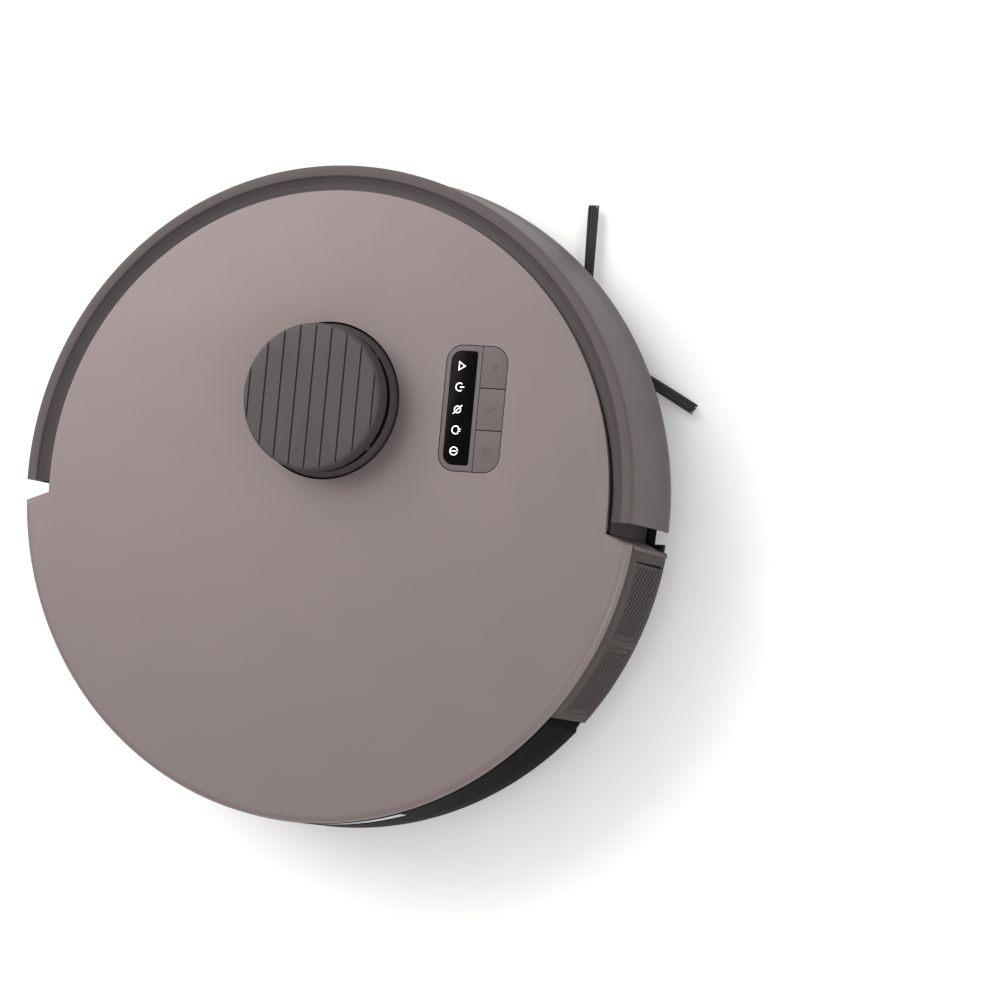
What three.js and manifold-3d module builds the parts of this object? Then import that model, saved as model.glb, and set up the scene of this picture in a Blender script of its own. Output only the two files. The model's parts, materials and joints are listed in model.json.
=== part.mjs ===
// Robot vacuum cleaner with a laser turret, as an assembly of separate pieces.
// Millimetres. Origin on the floor under the middle of the round body,
// +Z up, +Y towards the bumper (the way it drives), +X to the robot's right.
// Azimuths are degrees clockwise from +Y, seen from above.
import * as THREE from 'three';
import { mergeVertices } from 'three/addons/utils/BufferGeometryUtils.js';
import Module from 'manifold-3d';

const wasm = await Module();
wasm.setup();

// ---------------------------------------------------------------- driving dimensions
const GAP = 0.35; // clearance between pieces that touch
const WALL = 2.2; // moulded wall thickness

const BODY_R = 168.6; // widest radius of the rear wall
const BODY_TOP_R = 166.3; // rear wall radius just under the cover
const COVER_R = 152.3; // cover radius inside the bumper
const INNER_R = 153.4; // fixed wall behind the bumper
const COVER_Z = 80; // top of the cover
const COVER_T = 2.4; // cover plate thickness
const DECK_Z = 74.8; // top of the deck under the cover
const WALL_LOW_Z = 27; // lower edge of the rear wall
const FLOOR_Z0 = 9.5; // underside of the chassis
const FLOOR_Z1 = 12; // upper side of the chassis plate
const NOTCH_IN_Y = -10.7; // rear face of the notch, at the inner wall
const NOTCH_OUT_Y = -15.3; // rear face of the notch, at the outer wall

const BUMPER_R = 165; // bumper radius at its rim
const BUMPER_LOW_R = 167.4; // bumper radius low down, where it flares
const BUMPER_END_Y = -5; // the bumper's ends are cut square here
const BUMPER_TRAVEL = 3.5;
const BUMPER_FLANGE_R = 153.9; // inner edge of the bumper's flange, under the cover

const BIN_AZ = 128.2; // the dust bin fills the rear from here round to the same azimuth left
const BIN_FRONT_Y = -84; // front of the bin's narrow part
const BIN_STEP_Y = -102.2; // front of the bin's wide part
const BIN_NARROW_X = 82; // half widths of the two parts
const BIN_WIDE_X = 128.6;
const BIN_TOP_Z = 72;
const BIN_LOW_Z = 12.6;

const TURRET_X = -1.9;
const TURRET_Y = 45.5;
const TURRET_HOLE_R = 39.9; // hole in the cover
const RING_R = 39;
const CAP_R = 37;
const RING_TOP_Z = 84.2; // the laser looks out between the ring and the cap
const CAP_LOW_Z = 88.6;
const TURRET_TOP_Z = 99.6;
const GROOVE_PITCH = 8.4;

const PANEL = { x0: 61.5, x1: 93.6, y0: 14.6, y1: 77.2, r: 8.5 };
const PANEL_SPLIT_X = 80; // the buttons are right of this line
const BUTTON_SPLITS = [35.5, 56.4];
const WINDOW = { x0: 63.8, x1: 77.8, y0: 17.4, y1: 74.6, r: 5.5, rRight: 1.3 };
const PANEL_TOP = 80.1; // a hair proud of the cover

const WHEEL_X = 118.5; // middle of each driving tyre
const WHEEL_R = 35;
const TYRE_W = 22;
const PIVOT = { y: 52, z: 40 }; // suspension pivot of both wheel arms

const CASTER = { y: 119, trail: 5, r: 15, w: 14 };
const BRUSH = { y: -46, z: 24, r: 22, half: 78 };
const SIDE_BRUSH = { x: 107, y: 91.5, reach: 71.3, az: -2, motorX: 98, motorY: 86 };
const FAN = { x: 112, y: -68 };

// ---------------------------------------------------------------- helpers
// facets round a full turn, for large, middling and small rounds
const FINE = 60;
const MID = 28;
const SMALL = 16;
const TINY = 8;
const CURVE = 15; // half the facets of a drawn arc of half a turn

const rad = (deg) => (deg * Math.PI) / 180;

function toSolid(geometry) {
  const g = geometry.clone();
  for (const name of ['normal', 'uv']) g.deleteAttribute(name);
  const merged = mergeVertices(g, 1e-4);
  const index = merged.index.array;
  const triangles = [];
  for (let i = 0; i < index.length; i += 3) {
    const [a, b, c] = [index[i], index[i + 1], index[i + 2]];
    if (a !== b && b !== c && c !== a) triangles.push(a, b, c);
  }
  const make = (list) =>
    new wasm.Manifold(
      new wasm.Mesh({
        numProp: 3,
        vertProperties: new Float32Array(merged.attributes.position.array),
        triVerts: new Uint32Array(list),
      }),
    );
  const solid = make(triangles);
  if (solid.volume() > 0) return solid;
  for (let i = 0; i < triangles.length; i += 3) {
    [triangles[i], triangles[i + 1]] = [triangles[i + 1], triangles[i]];
  }
  return make(triangles);
}

const fromPoints = (points) => new THREE.Shape(points.map(([x, y]) => new THREE.Vector2(x, y)));

function plate(shape, z0, z1, curveSegments = 12) {
  const geometry = new THREE.ExtrudeGeometry(shape, { depth: z1 - z0, bevelEnabled: false, curveSegments });
  return toSolid(geometry.translate(0, 0, z0));
}

function box(x0, x1, y0, y1, z0, z1) {
  const geometry = new THREE.BoxGeometry(x1 - x0, y1 - y0, z1 - z0);
  return toSolid(geometry.translate((x0 + x1) / 2, (y0 + y1) / 2, (z0 + z1) / 2));
}

// profile: [radius, height] points; turned about the vertical line through (x, y)
function turned(profile, x = 0, y = 0, segments = MID) {
  const points = profile.map(([r, z]) => new THREE.Vector2(r, z));
  const geometry = new THREE.LatheGeometry(points, segments);
  return toSolid(geometry.rotateX(Math.PI / 2).translate(x, y, 0));
}

function post(x, y, z0, z1, r, segments = SMALL) {
  return turned([[0, z0], [r, z0], [r, z1], [0, z1]], x, y, segments);
}

function ring(x, y, z0, z1, rIn, rOut, segments = SMALL) {
  return turned([[rIn, z0], [rOut, z0], [rOut, z1], [rIn, z1], [rIn, z0]], x, y, segments);
}

// turned about a line along X through (y, z); profile: [radius, x] points
function turnedX(profile, y, z, segments = MID) {
  const points = profile.map(([r, x]) => new THREE.Vector2(r, x));
  const geometry = new THREE.LatheGeometry(points, segments);
  return toSolid(geometry.rotateZ(-Math.PI / 2).translate(0, y, z));
}

function barX(x0, x1, y, z, r, segments = SMALL) {
  return turnedX([[0, x0], [r, x0], [r, x1], [0, x1]], y, z, segments);
}

function roundedRect({ x0, x1, y0, y1 }, r, rRight = r) {
  const s = new THREE.Shape();
  s.moveTo(x0 + r, y0);
  s.lineTo(x1 - rRight, y0);
  s.absarc(x1 - rRight, y0 + rRight, rRight, -Math.PI / 2, 0);
  s.lineTo(x1, y1 - rRight);
  s.absarc(x1 - rRight, y1 - rRight, rRight, 0, Math.PI / 2);
  s.lineTo(x0 + r, y1);
  s.absarc(x0 + r, y1 - r, r, Math.PI / 2, Math.PI);
  s.lineTo(x0, y0 + r);
  s.absarc(x0 + r, y0 + r, r, Math.PI, 1.5 * Math.PI);
  return s;
}

const grown = ({ x0, x1, y0, y1 }, d) => ({ x0: x0 - d, x1: x1 + d, y0: y0 - d, y1: y1 + d });

// wedge of space between two azimuths, as a tall prism with its point on the origin
function sector(az0, az1, z0 = -1, z1 = 120, reach = 260) {
  const points = [[0, 0]];
  const steps = Math.max(2, Math.ceil(Math.abs(az1 - az0) / 20));
  for (let i = 0; i <= steps; i += 1) {
    const a = rad(az0 + ((az1 - az0) * i) / steps);
    points.push([reach * Math.sin(a), reach * Math.cos(a)]);
  }
  return plate(fromPoints(points), z0, z1);
}

// body plan: radius rFront ahead of the notch, rRear behind it
function bodyOutline(rFront, rRear, inset = 0) {
  const inner = Math.asin((NOTCH_IN_Y - inset) / rFront);
  const outer = Math.asin((NOTCH_OUT_Y - inset) / rRear);
  const s = new THREE.Shape();
  s.absarc(0, 0, rFront, inner, Math.PI - inner);
  s.absarc(0, 0, rRear, Math.PI - outer, 2 * Math.PI + outer);
  return s;
}

const root = new THREE.Group();

function finish(color, roughness, metalness = 0) {
  return { color, roughness, metalness };
}
const COVER_FINISH = finish(0x9c918f, 0.55, 0.15);
const SHELL = finish(0x6b6463, 0.5);
const DARK = finish(0x2a2929, 0.55);
const GREY = finish(0x55524f, 0.6);
const STEEL = finish(0xb8b8ba, 0.3, 1);
const BLACK_GLOSS = finish(0x121213, 0.12);
const BOARD = finish(0x1e5a3a, 0.6);

function add(name, solid, look, parent = root) {
  const mesh = solid.getMesh();
  const geometry = new THREE.BufferGeometry();
  geometry.setAttribute('position', new THREE.BufferAttribute(new Float32Array(mesh.vertProperties), 3));
  geometry.setIndex(new THREE.BufferAttribute(new Uint32Array(mesh.triVerts), 1));
  geometry.computeVertexNormals();
  const piece = new THREE.Mesh(geometry, new THREE.MeshStandardMaterial(look));
  piece.name = name;
  parent.add(piece);
  return piece;
}

const sum = (solids) => solids.reduce((a, b) => a.add(b));
const mirrorX = (solid) => solid.mirror([1, 0, 0]);
const SIDES = [['right', 1], ['left', -1]];
const onSide = (solid, side) => (side > 0 ? solid : mirrorX(solid));

// ---------------------------------------------------------------- chassis and covers
const WELL = { x0: 83.5, x1: 133, y0: -38.5, y1: 66 };
const VENT_BAND = { z0: 33.2, z1: 65.6 }; // height of the two vent grilles
const BATTERY_BAY = { x0: -40, x1: 40, y0: 3, y1: 83 };
const BRUSH_MOUTH = { x0: -84, x1: 84, y0: -78, y1: -14.5 };

function bottomCover() {
  const dish = turned(
    [[0, FLOOR_Z0], [147, FLOOR_Z0], [150, 10.4], [166.2, 24], [166.2, 26.4], [163.8, 26.4],
      [149.3, 13.2], [146.8, FLOOR_Z1], [0, FLOOR_Z1]],
    0, 0, FINE,
  );
  // ahead of the notch the dish stops short, to clear the bumper and the fixed wall
  const rim = turned(
    [[158.4, 8], [170, 8], [170, 40], [INNER_R - 2.5, 40], [INNER_R - 2.5, 17.4], [158.4, 17.4], [158.4, 8]],
    0, 0, FINE,
  );
  const front = box(-180, 180, NOTCH_IN_Y - 0.8, 180, 0, 60);
  let solid = dish.subtract(rim.intersect(front));
  // the dust bin slides out to the rear over the flat floor
  const wayOut = BIN_WIDE_X + GAP;
  solid = solid.subtract(box(-wayOut, wayOut, -200, BIN_STEP_Y + GAP, FLOOR_Z1, 60));
  for (const [, side] of SIDES) {
    solid = solid.subtract(onSide(box(WELL.x0, WELL.x1, WELL.y0, WELL.y1, 0, 20), side));
  }
  solid = solid.subtract(plate(roundedRect(BATTERY_BAY, 3), 0, 20, 3));
  solid = solid.subtract(box(BRUSH_MOUTH.x0, BRUSH_MOUTH.x1, BRUSH_MOUTH.y0, BRUSH_MOUTH.y1, 0, 20));
  solid = solid.subtract(post(0, CASTER.y, 0, 20, 25.4, MID));
  solid = solid.subtract(post(SIDE_BRUSH.x, SIDE_BRUSH.y, 0, 20, 5));
  for (const [, side] of SIDES) {
    solid = solid.subtract(onSide(box(41, 61, 116, 126, 0, 10.4), side));
  }
  return solid;
}

// space inside the chassis dish, clear of its sloping edge
const interior = turned(
  [[0, FLOOR_Z1 + 0.5], [146.2, FLOOR_Z1 + 0.5], [148.4, 13.8], [161.6, 26.8], [161.6, 72], [0, 72]],
  0, 0, FINE,
);

function upperHousing() {
  const deck = plate(bodyOutline(INNER_R, 163.6), 72.8, DECK_Z, CURVE);
  const frontWall = ring(0, 0, 17.8, 73.4, INNER_R - WALL, INNER_R, FINE)
    .intersect(box(-180, 180, -12.5, 180, 0, 100));
  const rearWall = turned(
    [[BODY_TOP_R - WALL, DECK_Z], [BODY_TOP_R, DECK_Z], [BODY_R, 28.4], [BODY_R - 0.9, WALL_LOW_Z],
      [BODY_R - WALL - 0.6, WALL_LOW_Z], [BODY_TOP_R - WALL, DECK_Z]],
    0, 0, FINE,
  );
  const [ventZ0, ventZ1] = [VENT_BAND.z0 - 1, VENT_BAND.z1 + 1];
  const vents = turned(
    [[150, ventZ0], [175, ventZ0], [175, ventZ1], [150, ventZ1], [150, ventZ0]],
    0, 0, FINE,
  );
  let solid = deck.add(frontWall);
  const rearOnly = plate(bodyOutline(150, 175), 20, 90, CURVE).intersect(box(-180, 180, -180, -9, 0, 100));
  for (const [, side] of SIDES) {
    const wall = rearWall.intersect(sector(90, BIN_AZ - 0.25)).intersect(rearOnly);
    const opened = wall.subtract(vents.intersect(sector(97.4, 126.8)));
    solid = solid.add(onSide(opened, side));
    solid = solid.add(onSide(notchFace(), side));
  }
  solid = solid.subtract(post(TURRET_X, TURRET_Y, 60, 90, 43, MID));
  solid = solid.subtract(plate(roundedRect(grown(PANEL, 1.6), 9), 60, 90, 4));
  // the deck stops short of the bin's outer wall
  const binRoof = ring(0, 0, 70, 90, 162.2, 175, FINE).intersect(sector(BIN_AZ - 0.25, 360 - BIN_AZ + 0.25));
  return solid.subtract(binRoof);
}

// slanted wall that closes the rear body towards the notch
function notchFace() {
  const slope = (NOTCH_OUT_Y - NOTCH_IN_Y) / (BUMPER_R - INNER_R);
  const y = (r) => NOTCH_IN_Y + slope * (r - INNER_R);
  const [inner, outer, thick] = [INNER_R - WALL, BODY_R + 4, 2];
  const slab = plate(
    fromPoints([[inner, y(inner)], [outer, y(outer)], [outer, y(outer) - thick], [inner, y(inner) - thick]]),
    WALL_LOW_Z, DECK_Z,
  );
  const envelope = turned(
    [[0, WALL_LOW_Z], [BODY_R - 1, WALL_LOW_Z], [BODY_TOP_R - 0.1, DECK_Z], [0, DECK_Z]],
    0, 0, FINE,
  );
  return slab.intersect(envelope);
}

function topCover() {
  const skin = plate(bodyOutline(COVER_R, BODY_TOP_R), COVER_Z - COVER_T, COVER_Z, CURVE);
  const skirt = ring(0, 0, DECK_Z + GAP, COVER_Z - COVER_T + 0.5, BODY_TOP_R - 3, BODY_TOP_R, FINE);
  const rear = plate(bodyOutline(150, 175), 70, 90, CURVE)
    .intersect(box(-180, 180, -180, NOTCH_IN_Y, 0, 100));
  const bevel = turned(
    [[0, 60], [BODY_TOP_R - 0.2, 60], [BODY_TOP_R - 0.2, 76.4],
      [BODY_TOP_R - 1, 78.3], [BODY_TOP_R - 2.4, 79.5],
      [BODY_TOP_R - 4, COVER_Z], [0, COVER_Z]],
    0, 0, FINE,
  );
  let solid = skin.add(skirt.intersect(rear)).intersect(bevel);
  // clips that reach down to the deck
  for (const az of [20, 70, 150, 210, 290, 340]) {
    const [x, y] = [140 * Math.sin(rad(az)), 140 * Math.cos(rad(az))];
    solid = solid.add(box(x - 4, x + 4, y - 4, y + 4, DECK_Z + GAP, COVER_Z - 1));
  }
  solid = solid.subtract(post(TURRET_X, TURRET_Y, 60, 90, TURRET_HOLE_R, FINE));
  return solid.subtract(plate(roundedRect(grown(PANEL, GAP), PANEL.r + GAP), 60, 90, 6));
}

add('bottom_cover', bottomCover(), DARK);
add('upper_housing', upperHousing(), SHELL);
add('top_cover', topCover(), COVER_FINISH);

// curved grille with two fields of slanted slots, one grille for each side
const VENT_FIELDS = [[98.7, 110.6], [113.6, 125.5]]; // azimuths of each field's ends
const VENT_SLOTS = { tilt: 37, pitch: 7, width: 2.4, z0: 36, z1: 63 };
function ventGrille() {
  const { z0: low, z1: high } = VENT_BAND;
  const band = turned([[163.4, low], [167, low], [166, high], [163.4, high], [163.4, low]], 0, 0, FINE);
  let solid = band.intersect(sector(97.8, 126.4));
  const { tilt, pitch, width, z0, z1 } = VENT_SLOTS;
  for (const [start, end] of VENT_FIELDS) {
    const middle = (start + end) / 2;
    const half = rad((end - start) / 2) * BODY_TOP_R - 2;
    const field = box(-half, half, -7, 7, z0, z1);
    for (let i = -3; i <= 3; i += 1) {
      const slot = new THREE.BoxGeometry(80, 12, width).rotateY(-rad(tilt));
      const cut = toSolid(slot.translate(i * pitch, 0, (z0 + z1) / 2)).intersect(field);
      const [x, y] = [BODY_TOP_R * Math.sin(rad(middle)), BODY_TOP_R * Math.cos(rad(middle))];
      solid = solid.subtract(cut.rotate([0, 0, -middle]).translate([x, y, 0]));
    }
  }
  return solid;
}
for (const [name, side] of SIDES) add(`vent_grille_${name}`, onSide(ventGrille(), side), SHELL);

// charging plates, flush with the underside
for (const [name, side] of SIDES) {
  add(`charging_contact_${name}`, onSide(box(41.4, 60.6, 116.4, 125.6, FLOOR_Z0 - 0.1, 10.1), side), STEEL);
}

// ---------------------------------------------------------------- battery and electronics
const doorFace = plate(roundedRect(grown(BATTERY_BAY, -GAP), 2.6), FLOOR_Z0, FLOOR_Z1 - 0.2, 3);
add('battery_door', doorFace, DARK);
const pack = sum([-26.4, -8.8, 8.8, 26.4].map((x) => {
  const cell = new THREE.CylinderGeometry(9.1, 9.1, 66, TINY).translate(x, 43, 22);
  return toSolid(cell).add(toSolid(cell.clone().translate(0, 0, 17)));
}));
add('battery_pack', pack.add(box(-34, 34, 12, 74, 18, 43)), finish(0x2f4f7a, 0.5));
const board = plate(roundedRect({ x0: -52, x1: 52, y0: -4, y1: 98 }, 4), 52, 53.6, 3);
const chips = [[-30, 20, 9], [8, 60, 12], [30, 12, 7], [-34, 74, 8]];
const chipSolids = chips.map(([x, y, half]) => box(x - half, x + half, y - half, y + half, 53.2, 55.4));
add('main_board', sum([board, ...chipSolids]), BOARD);
const SPEAKER = { x: -112, y: -82 };
const speakerProfile = [[0, 54], [9, 54], [10, 60], [15, 64], [15, 66], [0, 66]];
add('speaker', turned(speakerProfile, SPEAKER.x, SPEAKER.y, SMALL), DARK);

// ---------------------------------------------------------------- turret
// point at an azimuth and distance from the turret's middle
function aroundTurret(az, r) {
  return [TURRET_X + r * Math.sin(rad(az)), TURRET_Y + r * Math.cos(rad(az))];
}

function turretRing() {
  const body = turned(
    [[32, 75.4], [RING_R - 0.2, 75.4], [RING_R, COVER_Z],
      [RING_R - 0.5, 81.6], [CAP_R + 0.3, RING_TOP_Z - 0.3],
      [CAP_R - 0.2, RING_TOP_Z], [34, RING_TOP_Z], [33, 83.3], [32, 83.3], [32, 75.4]],
    TURRET_X, TURRET_Y, MID,
  );
  const feet = [45, 135, 225, 315].map((az) => ring(...aroundTurret(az, 40), 75.4, 76.6, 1.6, 3.6, TINY));
  return sum([body, ...feet]);
}

function turretCap() {
  let cap = turned(
    [[0, CAP_LOW_Z], [CAP_R - 0.5, CAP_LOW_Z], [CAP_R, CAP_LOW_Z + 0.5], [CAP_R, TURRET_TOP_Z - 2],
      [CAP_R - 0.5, TURRET_TOP_Z - 0.8], [CAP_R - 1.7, TURRET_TOP_Z], [0, TURRET_TOP_Z]],
    TURRET_X, TURRET_Y, MID,
  );
  cap = cap.subtract(post(TURRET_X, TURRET_Y, CAP_LOW_Z - 2, TURRET_TOP_Z - 4, 33, MID));
  for (let i = -4; i <= 4; i += 1) {
    const x = TURRET_X + i * GROOVE_PITCH;
    cap = cap.subtract(box(x - 0.55, x + 0.55, 0, 90, TURRET_TOP_Z - 0.9, 120));
  }
  const pillars = [50, 130, 230, 310].map((az) => {
    const [x, y] = aroundTurret(az, 35.2);
    return box(x - 1.7, x + 1.7, y - 1.7, y + 1.7, RING_TOP_Z + GAP, CAP_LOW_Z + 0.6);
  });
  return sum([cap, ...pillars]);
}

const PULLEY = { x: TURRET_X + 24, y: TURRET_Y - 18 };
const ROTOR_R = 25;
const LENS = { z0: 82.5, z1: 90.3 };
function lidarBase() {
  const disc = turned([[0, 62], [41, 62], [41, 64.4], [0, 64.4]], TURRET_X, TURRET_Y, MID);
  const legs = [45, 135, 225, 315].map((az) => post(...aroundTurret(az, 37), 64, 74.9, 2.6, TINY));
  const spindle = post(TURRET_X, TURRET_Y, 64, 69, 5, SMALL);
  const motorHole = post(PULLEY.x, PULLEY.y, 60, 66, 6.4, SMALL);
  return sum([disc, ...legs, spindle]).subtract(motorHole);
}
function lidarRotor() {
  const drum = turned(
    [[5.4, 66.2], [22, 66.2], [22, 71.4], [ROTOR_R, 71.4], [ROTOR_R, 74], [23.6, 74], [23.6, 91.4], [0, 91.4],
      [0, 69.6], [5.4, 69.6], [5.4, 66.2]],
    TURRET_X, TURRET_Y, MID,
  );
  const [x, y] = [TURRET_X, TURRET_Y];
  const faceCut = box(x - 14, x + 14, y + 19, y + 30, LENS.z0 - 1, LENS.z1 + 1);
  return drum.subtract(faceCut);
}
add('turret_ring', turretRing(), GREY);
add('turret_cap', turretCap(), finish(0x625b5a, 0.5));
add('lidar_base', lidarBase(), DARK);
add('lidar_rotor', lidarRotor(), DARK);
const lensBlock = box(TURRET_X - 12, TURRET_X + 12, TURRET_Y + 19 + GAP, TURRET_Y + 22, LENS.z0, LENS.z1);
add('lidar_lens', lensBlock, BLACK_GLOSS);
const motorCan = post(PULLEY.x, PULLEY.y, 56.5, 65.4, 6, SMALL);
add('lidar_motor', motorCan.add(post(PULLEY.x, PULLEY.y, 65, 66.2, 1, TINY)), STEEL);
const pulleyProfile = [
  [0, 66.6], [3.4, 66.6], [3.4, 67.4], [2.8, 67.6], [2.8, 70], [3.4, 70.2], [3.4, 71], [0, 71],
];
add('lidar_pulley', turned(pulleyProfile, PULLEY.x, PULLEY.y, SMALL), DARK);
function lidarBelt() {
  // open belt round the drum and the pulley
  const [rBig, rSmall] = [22.5, 3.3];
  const [dx, dy] = [PULLEY.x - TURRET_X, PULLEY.y - TURRET_Y];
  const dist = Math.hypot(dx, dy);
  const toPulley = Math.atan2(dy, dx);
  const lean = Math.acos((rBig - rSmall) / dist);
  const loop = (grow) => {
    const s = new THREE.Shape();
    s.absarc(TURRET_X, TURRET_Y, rBig + grow, toPulley + lean, toPulley + 2 * Math.PI - lean);
    s.absarc(PULLEY.x, PULLEY.y, rSmall + grow, toPulley - lean, toPulley + lean);
    return s;
  };
  return plate(loop(0.8), 68, 69.6, 10).subtract(plate(loop(0), 67, 70, 10));
}
add('lidar_belt', lidarBelt(), finish(0x1b1b1b, 0.8));

// ---------------------------------------------------------------- control panel
const BUTTON_X = (PANEL_SPLIT_X + PANEL.x1) / 2;
function panelBezel() {
  const outline = plate(roundedRect(PANEL, PANEL.r), 75.4, PANEL_TOP, 6);
  const buttonWell = box(PANEL_SPLIT_X - 0.2, 120, 0, 120, 77, 90);
  const windowWell = plate(roundedRect(WINDOW, WINDOW.r, WINDOW.rRight), 78.4, 90, 4);
  let solid = outline.subtract(buttonWell).subtract(windowWell);
  for (const y of buttonMiddles()) solid = solid.subtract(post(BUTTON_X, y, 70, 80, 2.4, TINY));
  return solid;
}
function buttonMiddles() {
  const edges = [PANEL.y0, ...BUTTON_SPLITS, PANEL.y1];
  return [0, 1, 2].map((i) => (edges[i] + edges[i + 1]) / 2);
}
add('panel_bezel', panelBezel(), SHELL);
const windowPane = roundedRect(grown(WINDOW, -0.3), WINDOW.r - 0.3, WINDOW.rRight - 0.3);
add('display_window', plate(windowPane, 78.7, PANEL_TOP + 0.1, 4), BLACK_GLOSS);
['button_low', 'button_middle', 'button_high'].forEach((name, i) => {
  const edges = [PANEL.y0 - 1, ...BUTTON_SPLITS, PANEL.y1 + 1];
  const slot = box(PANEL_SPLIT_X + 0.15, 120, edges[i] + 0.2, edges[i + 1] - 0.2, 70, 90);
  const top = plate(roundedRect(PANEL, PANEL.r), 77.9, PANEL_TOP, 6).intersect(slot);
  add(name, top.add(post(BUTTON_X, buttonMiddles()[i], 73.6, 78.2, 2, TINY)), SHELL);
});
const switches = buttonMiddles()
  .map((y) => box(BUTTON_X - 2.5, BUTTON_X + 2.5, y - 2.5, y + 2.5, 70.8, 72.4));
add('panel_board', sum([box(62.5, 92.6, 16, 76, 69.6, 71.2), ...switches]), BOARD);

// ---------------------------------------------------------------- main brush
function brushChamber() {
  const { y, z } = BRUSH;
  const outer = barX(-80, 80, y, z, 28.6, MID).intersect(box(-90, 90, y - 40, y + 40, z, 80))
    .add(box(-80, 80, y - 28.6, y + 28.6, 12.3, z + 0.01));
  const neck = box(-33, 33, y - 29.2, y - 14, 27, 54);
  const inner = barX(-79.99, 79.99, y, z, 26, MID).intersect(box(-90, 90, y - 40, y + 40, z - 0.01, 80))
    .add(box(-79.99, 79.99, y - 26, y + 26, 5, z + 0.01));
  const end = box(79.5, 82, y - 28.6, y + 28.6, 12.3, z + 20);
  const throat = box(-30, 30, y - 40, y - 10, 30, 51);
  let solid = outer.add(neck).subtract(inner).subtract(throat);
  solid = sum([solid, end, mirrorX(end)]);
  return solid.subtract(barX(-90, 90, y, z, 4.2, SMALL));
}

function mainBrush() {
  const { y, z, r, half } = BRUSH;
  const vanes = 5;
  const points = [];
  for (let i = 0; i < vanes; i += 1) {
    const a = (i / vanes) * 2 * Math.PI;
    const step = Math.PI / vanes;
    for (const [radius, da] of [[9, -step], [9, -0.35], [r, -0.045], [r, 0.045], [9, 0.35]]) {
      points.push([radius * Math.cos(a + da), radius * Math.sin(a + da)]);
    }
  }
  const options = { depth: 2 * half, steps: 12, bevelEnabled: false };
  const geometry = new THREE.ExtrudeGeometry(fromPoints(points), options);
  const position = geometry.attributes.position;
  for (let i = 0; i < position.count; i += 1) {
    // chevron: the vanes lead from both ends towards the middle
    const turn = rad(70) * Math.abs(position.getZ(i) / half - 1);
    const [px, py] = [position.getX(i), position.getY(i)];
    position.setXY(i, px * Math.cos(turn) - py * Math.sin(turn), px * Math.sin(turn) + py * Math.cos(turn));
  }
  geometry.translate(0, 0, -half).rotateY(Math.PI / 2).translate(0, y, z);
  return toSolid(geometry).add(barX(-88, 81.5, y, z, 3.6, SMALL));
}

function brushGuard() {
  const outer = grown(BRUSH_MOUTH, -0.6);
  const opening = { x0: -78, x1: 78, y0: BRUSH.y - 22.6, y1: -20.4 };
  return plate(roundedRect(outer, 3), 8.6, 11.4, 3).subtract(plate(roundedRect(opening, 4), 0, 20, 3));
}

const GEARBOX_X = { x0: -101, x1: -82.6 };
add('brush_chamber', brushChamber(), DARK);
add('main_brush', mainBrush(), finish(0x30405a, 0.7));
add('brush_guard', brushGuard(), GREY);
const gearbox = box(GEARBOX_X.x0, GEARBOX_X.x1, -66, -42.2, 13, 51)
  .add(box(GEARBOX_X.x0, GEARBOX_X.x1, -43, -20, 13, 36))
  .subtract(barX(-92, -80, BRUSH.y, BRUSH.z, 4.2, SMALL));
add('brush_gearbox', gearbox, GREY);
const motorEnd = GEARBOX_X.x0 - GAP;
const brushMotor = [[0, -139], [4, -139], [4, -137], [12.5, -136], [12.5, motorEnd], [0, motorEnd]];
add('brush_motor', turnedX(brushMotor, -58, 38, SMALL), STEEL);

function suctionDuct() {
  const [front, rear] = [BRUSH.y - 29.6, BIN_FRONT_Y + GAP];
  return box(-33, 33, rear, front, 27, 54).subtract(box(-30, 30, rear - 2, front + 2, 30, 51));
}
add('suction_duct', suctionDuct(), DARK);

// ---------------------------------------------------------------- fan
function fanHousing() {
  const drum = turned([[0, 13], [27, 13], [27, 45], [0, 45]], FAN.x, FAN.y, MID);
  const spout = box(FAN.x, FAN.x + 27.5, FAN.y - 18, FAN.y + 4, 20, 40);
  const hollow = post(FAN.x, FAN.y, 16, 43, 24.6, MID);
  const outlet = box(FAN.x + 10, FAN.x + 60, FAN.y - 16, FAN.y + 2, 22, 38);
  const inlet = post(FAN.x, FAN.y, 40, 50, 14, SMALL);
  return drum.add(spout).subtract(sum([hollow, outlet, inlet])).intersect(interior);
}
function fanImpeller() {
  const disc = post(FAN.x, FAN.y, 20, 22.4, 22.6, MID);
  const hub = turned([[0, 20], [7, 20], [5, 36], [2, 38], [0, 38]], FAN.x, FAN.y, SMALL);
  const blades = [];
  for (let i = 0; i < 9; i += 1) {
    const blade = new THREE.BoxGeometry(17, 1.2, 14).rotateZ(rad(38)).translate(14, 0, 29);
    blade.rotateZ((i / 9) * 2 * Math.PI).translate(FAN.x, FAN.y, 0);
    blades.push(toSolid(blade));
  }
  return sum([disc, hub, ...blades]).intersect(post(FAN.x, FAN.y, 10, 60, 22.6, MID));
}
function fanInletDuct() {
  const outer = box(FAN.x - 27, FAN.x + 16, -101.6, FAN.y + 16, 45.4, 71);
  const inner = box(FAN.x - 25, FAN.x + 14, -110, FAN.y + 14, 47.6, 69);
  return outer.subtract(inner).subtract(post(FAN.x, FAN.y, 40, 50, 14, SMALL));
}
add('fan_housing', fanHousing(), DARK);
add('fan_impeller', fanImpeller(), GREY);
add('fan_inlet_duct', fanInletDuct(), DARK);

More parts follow.
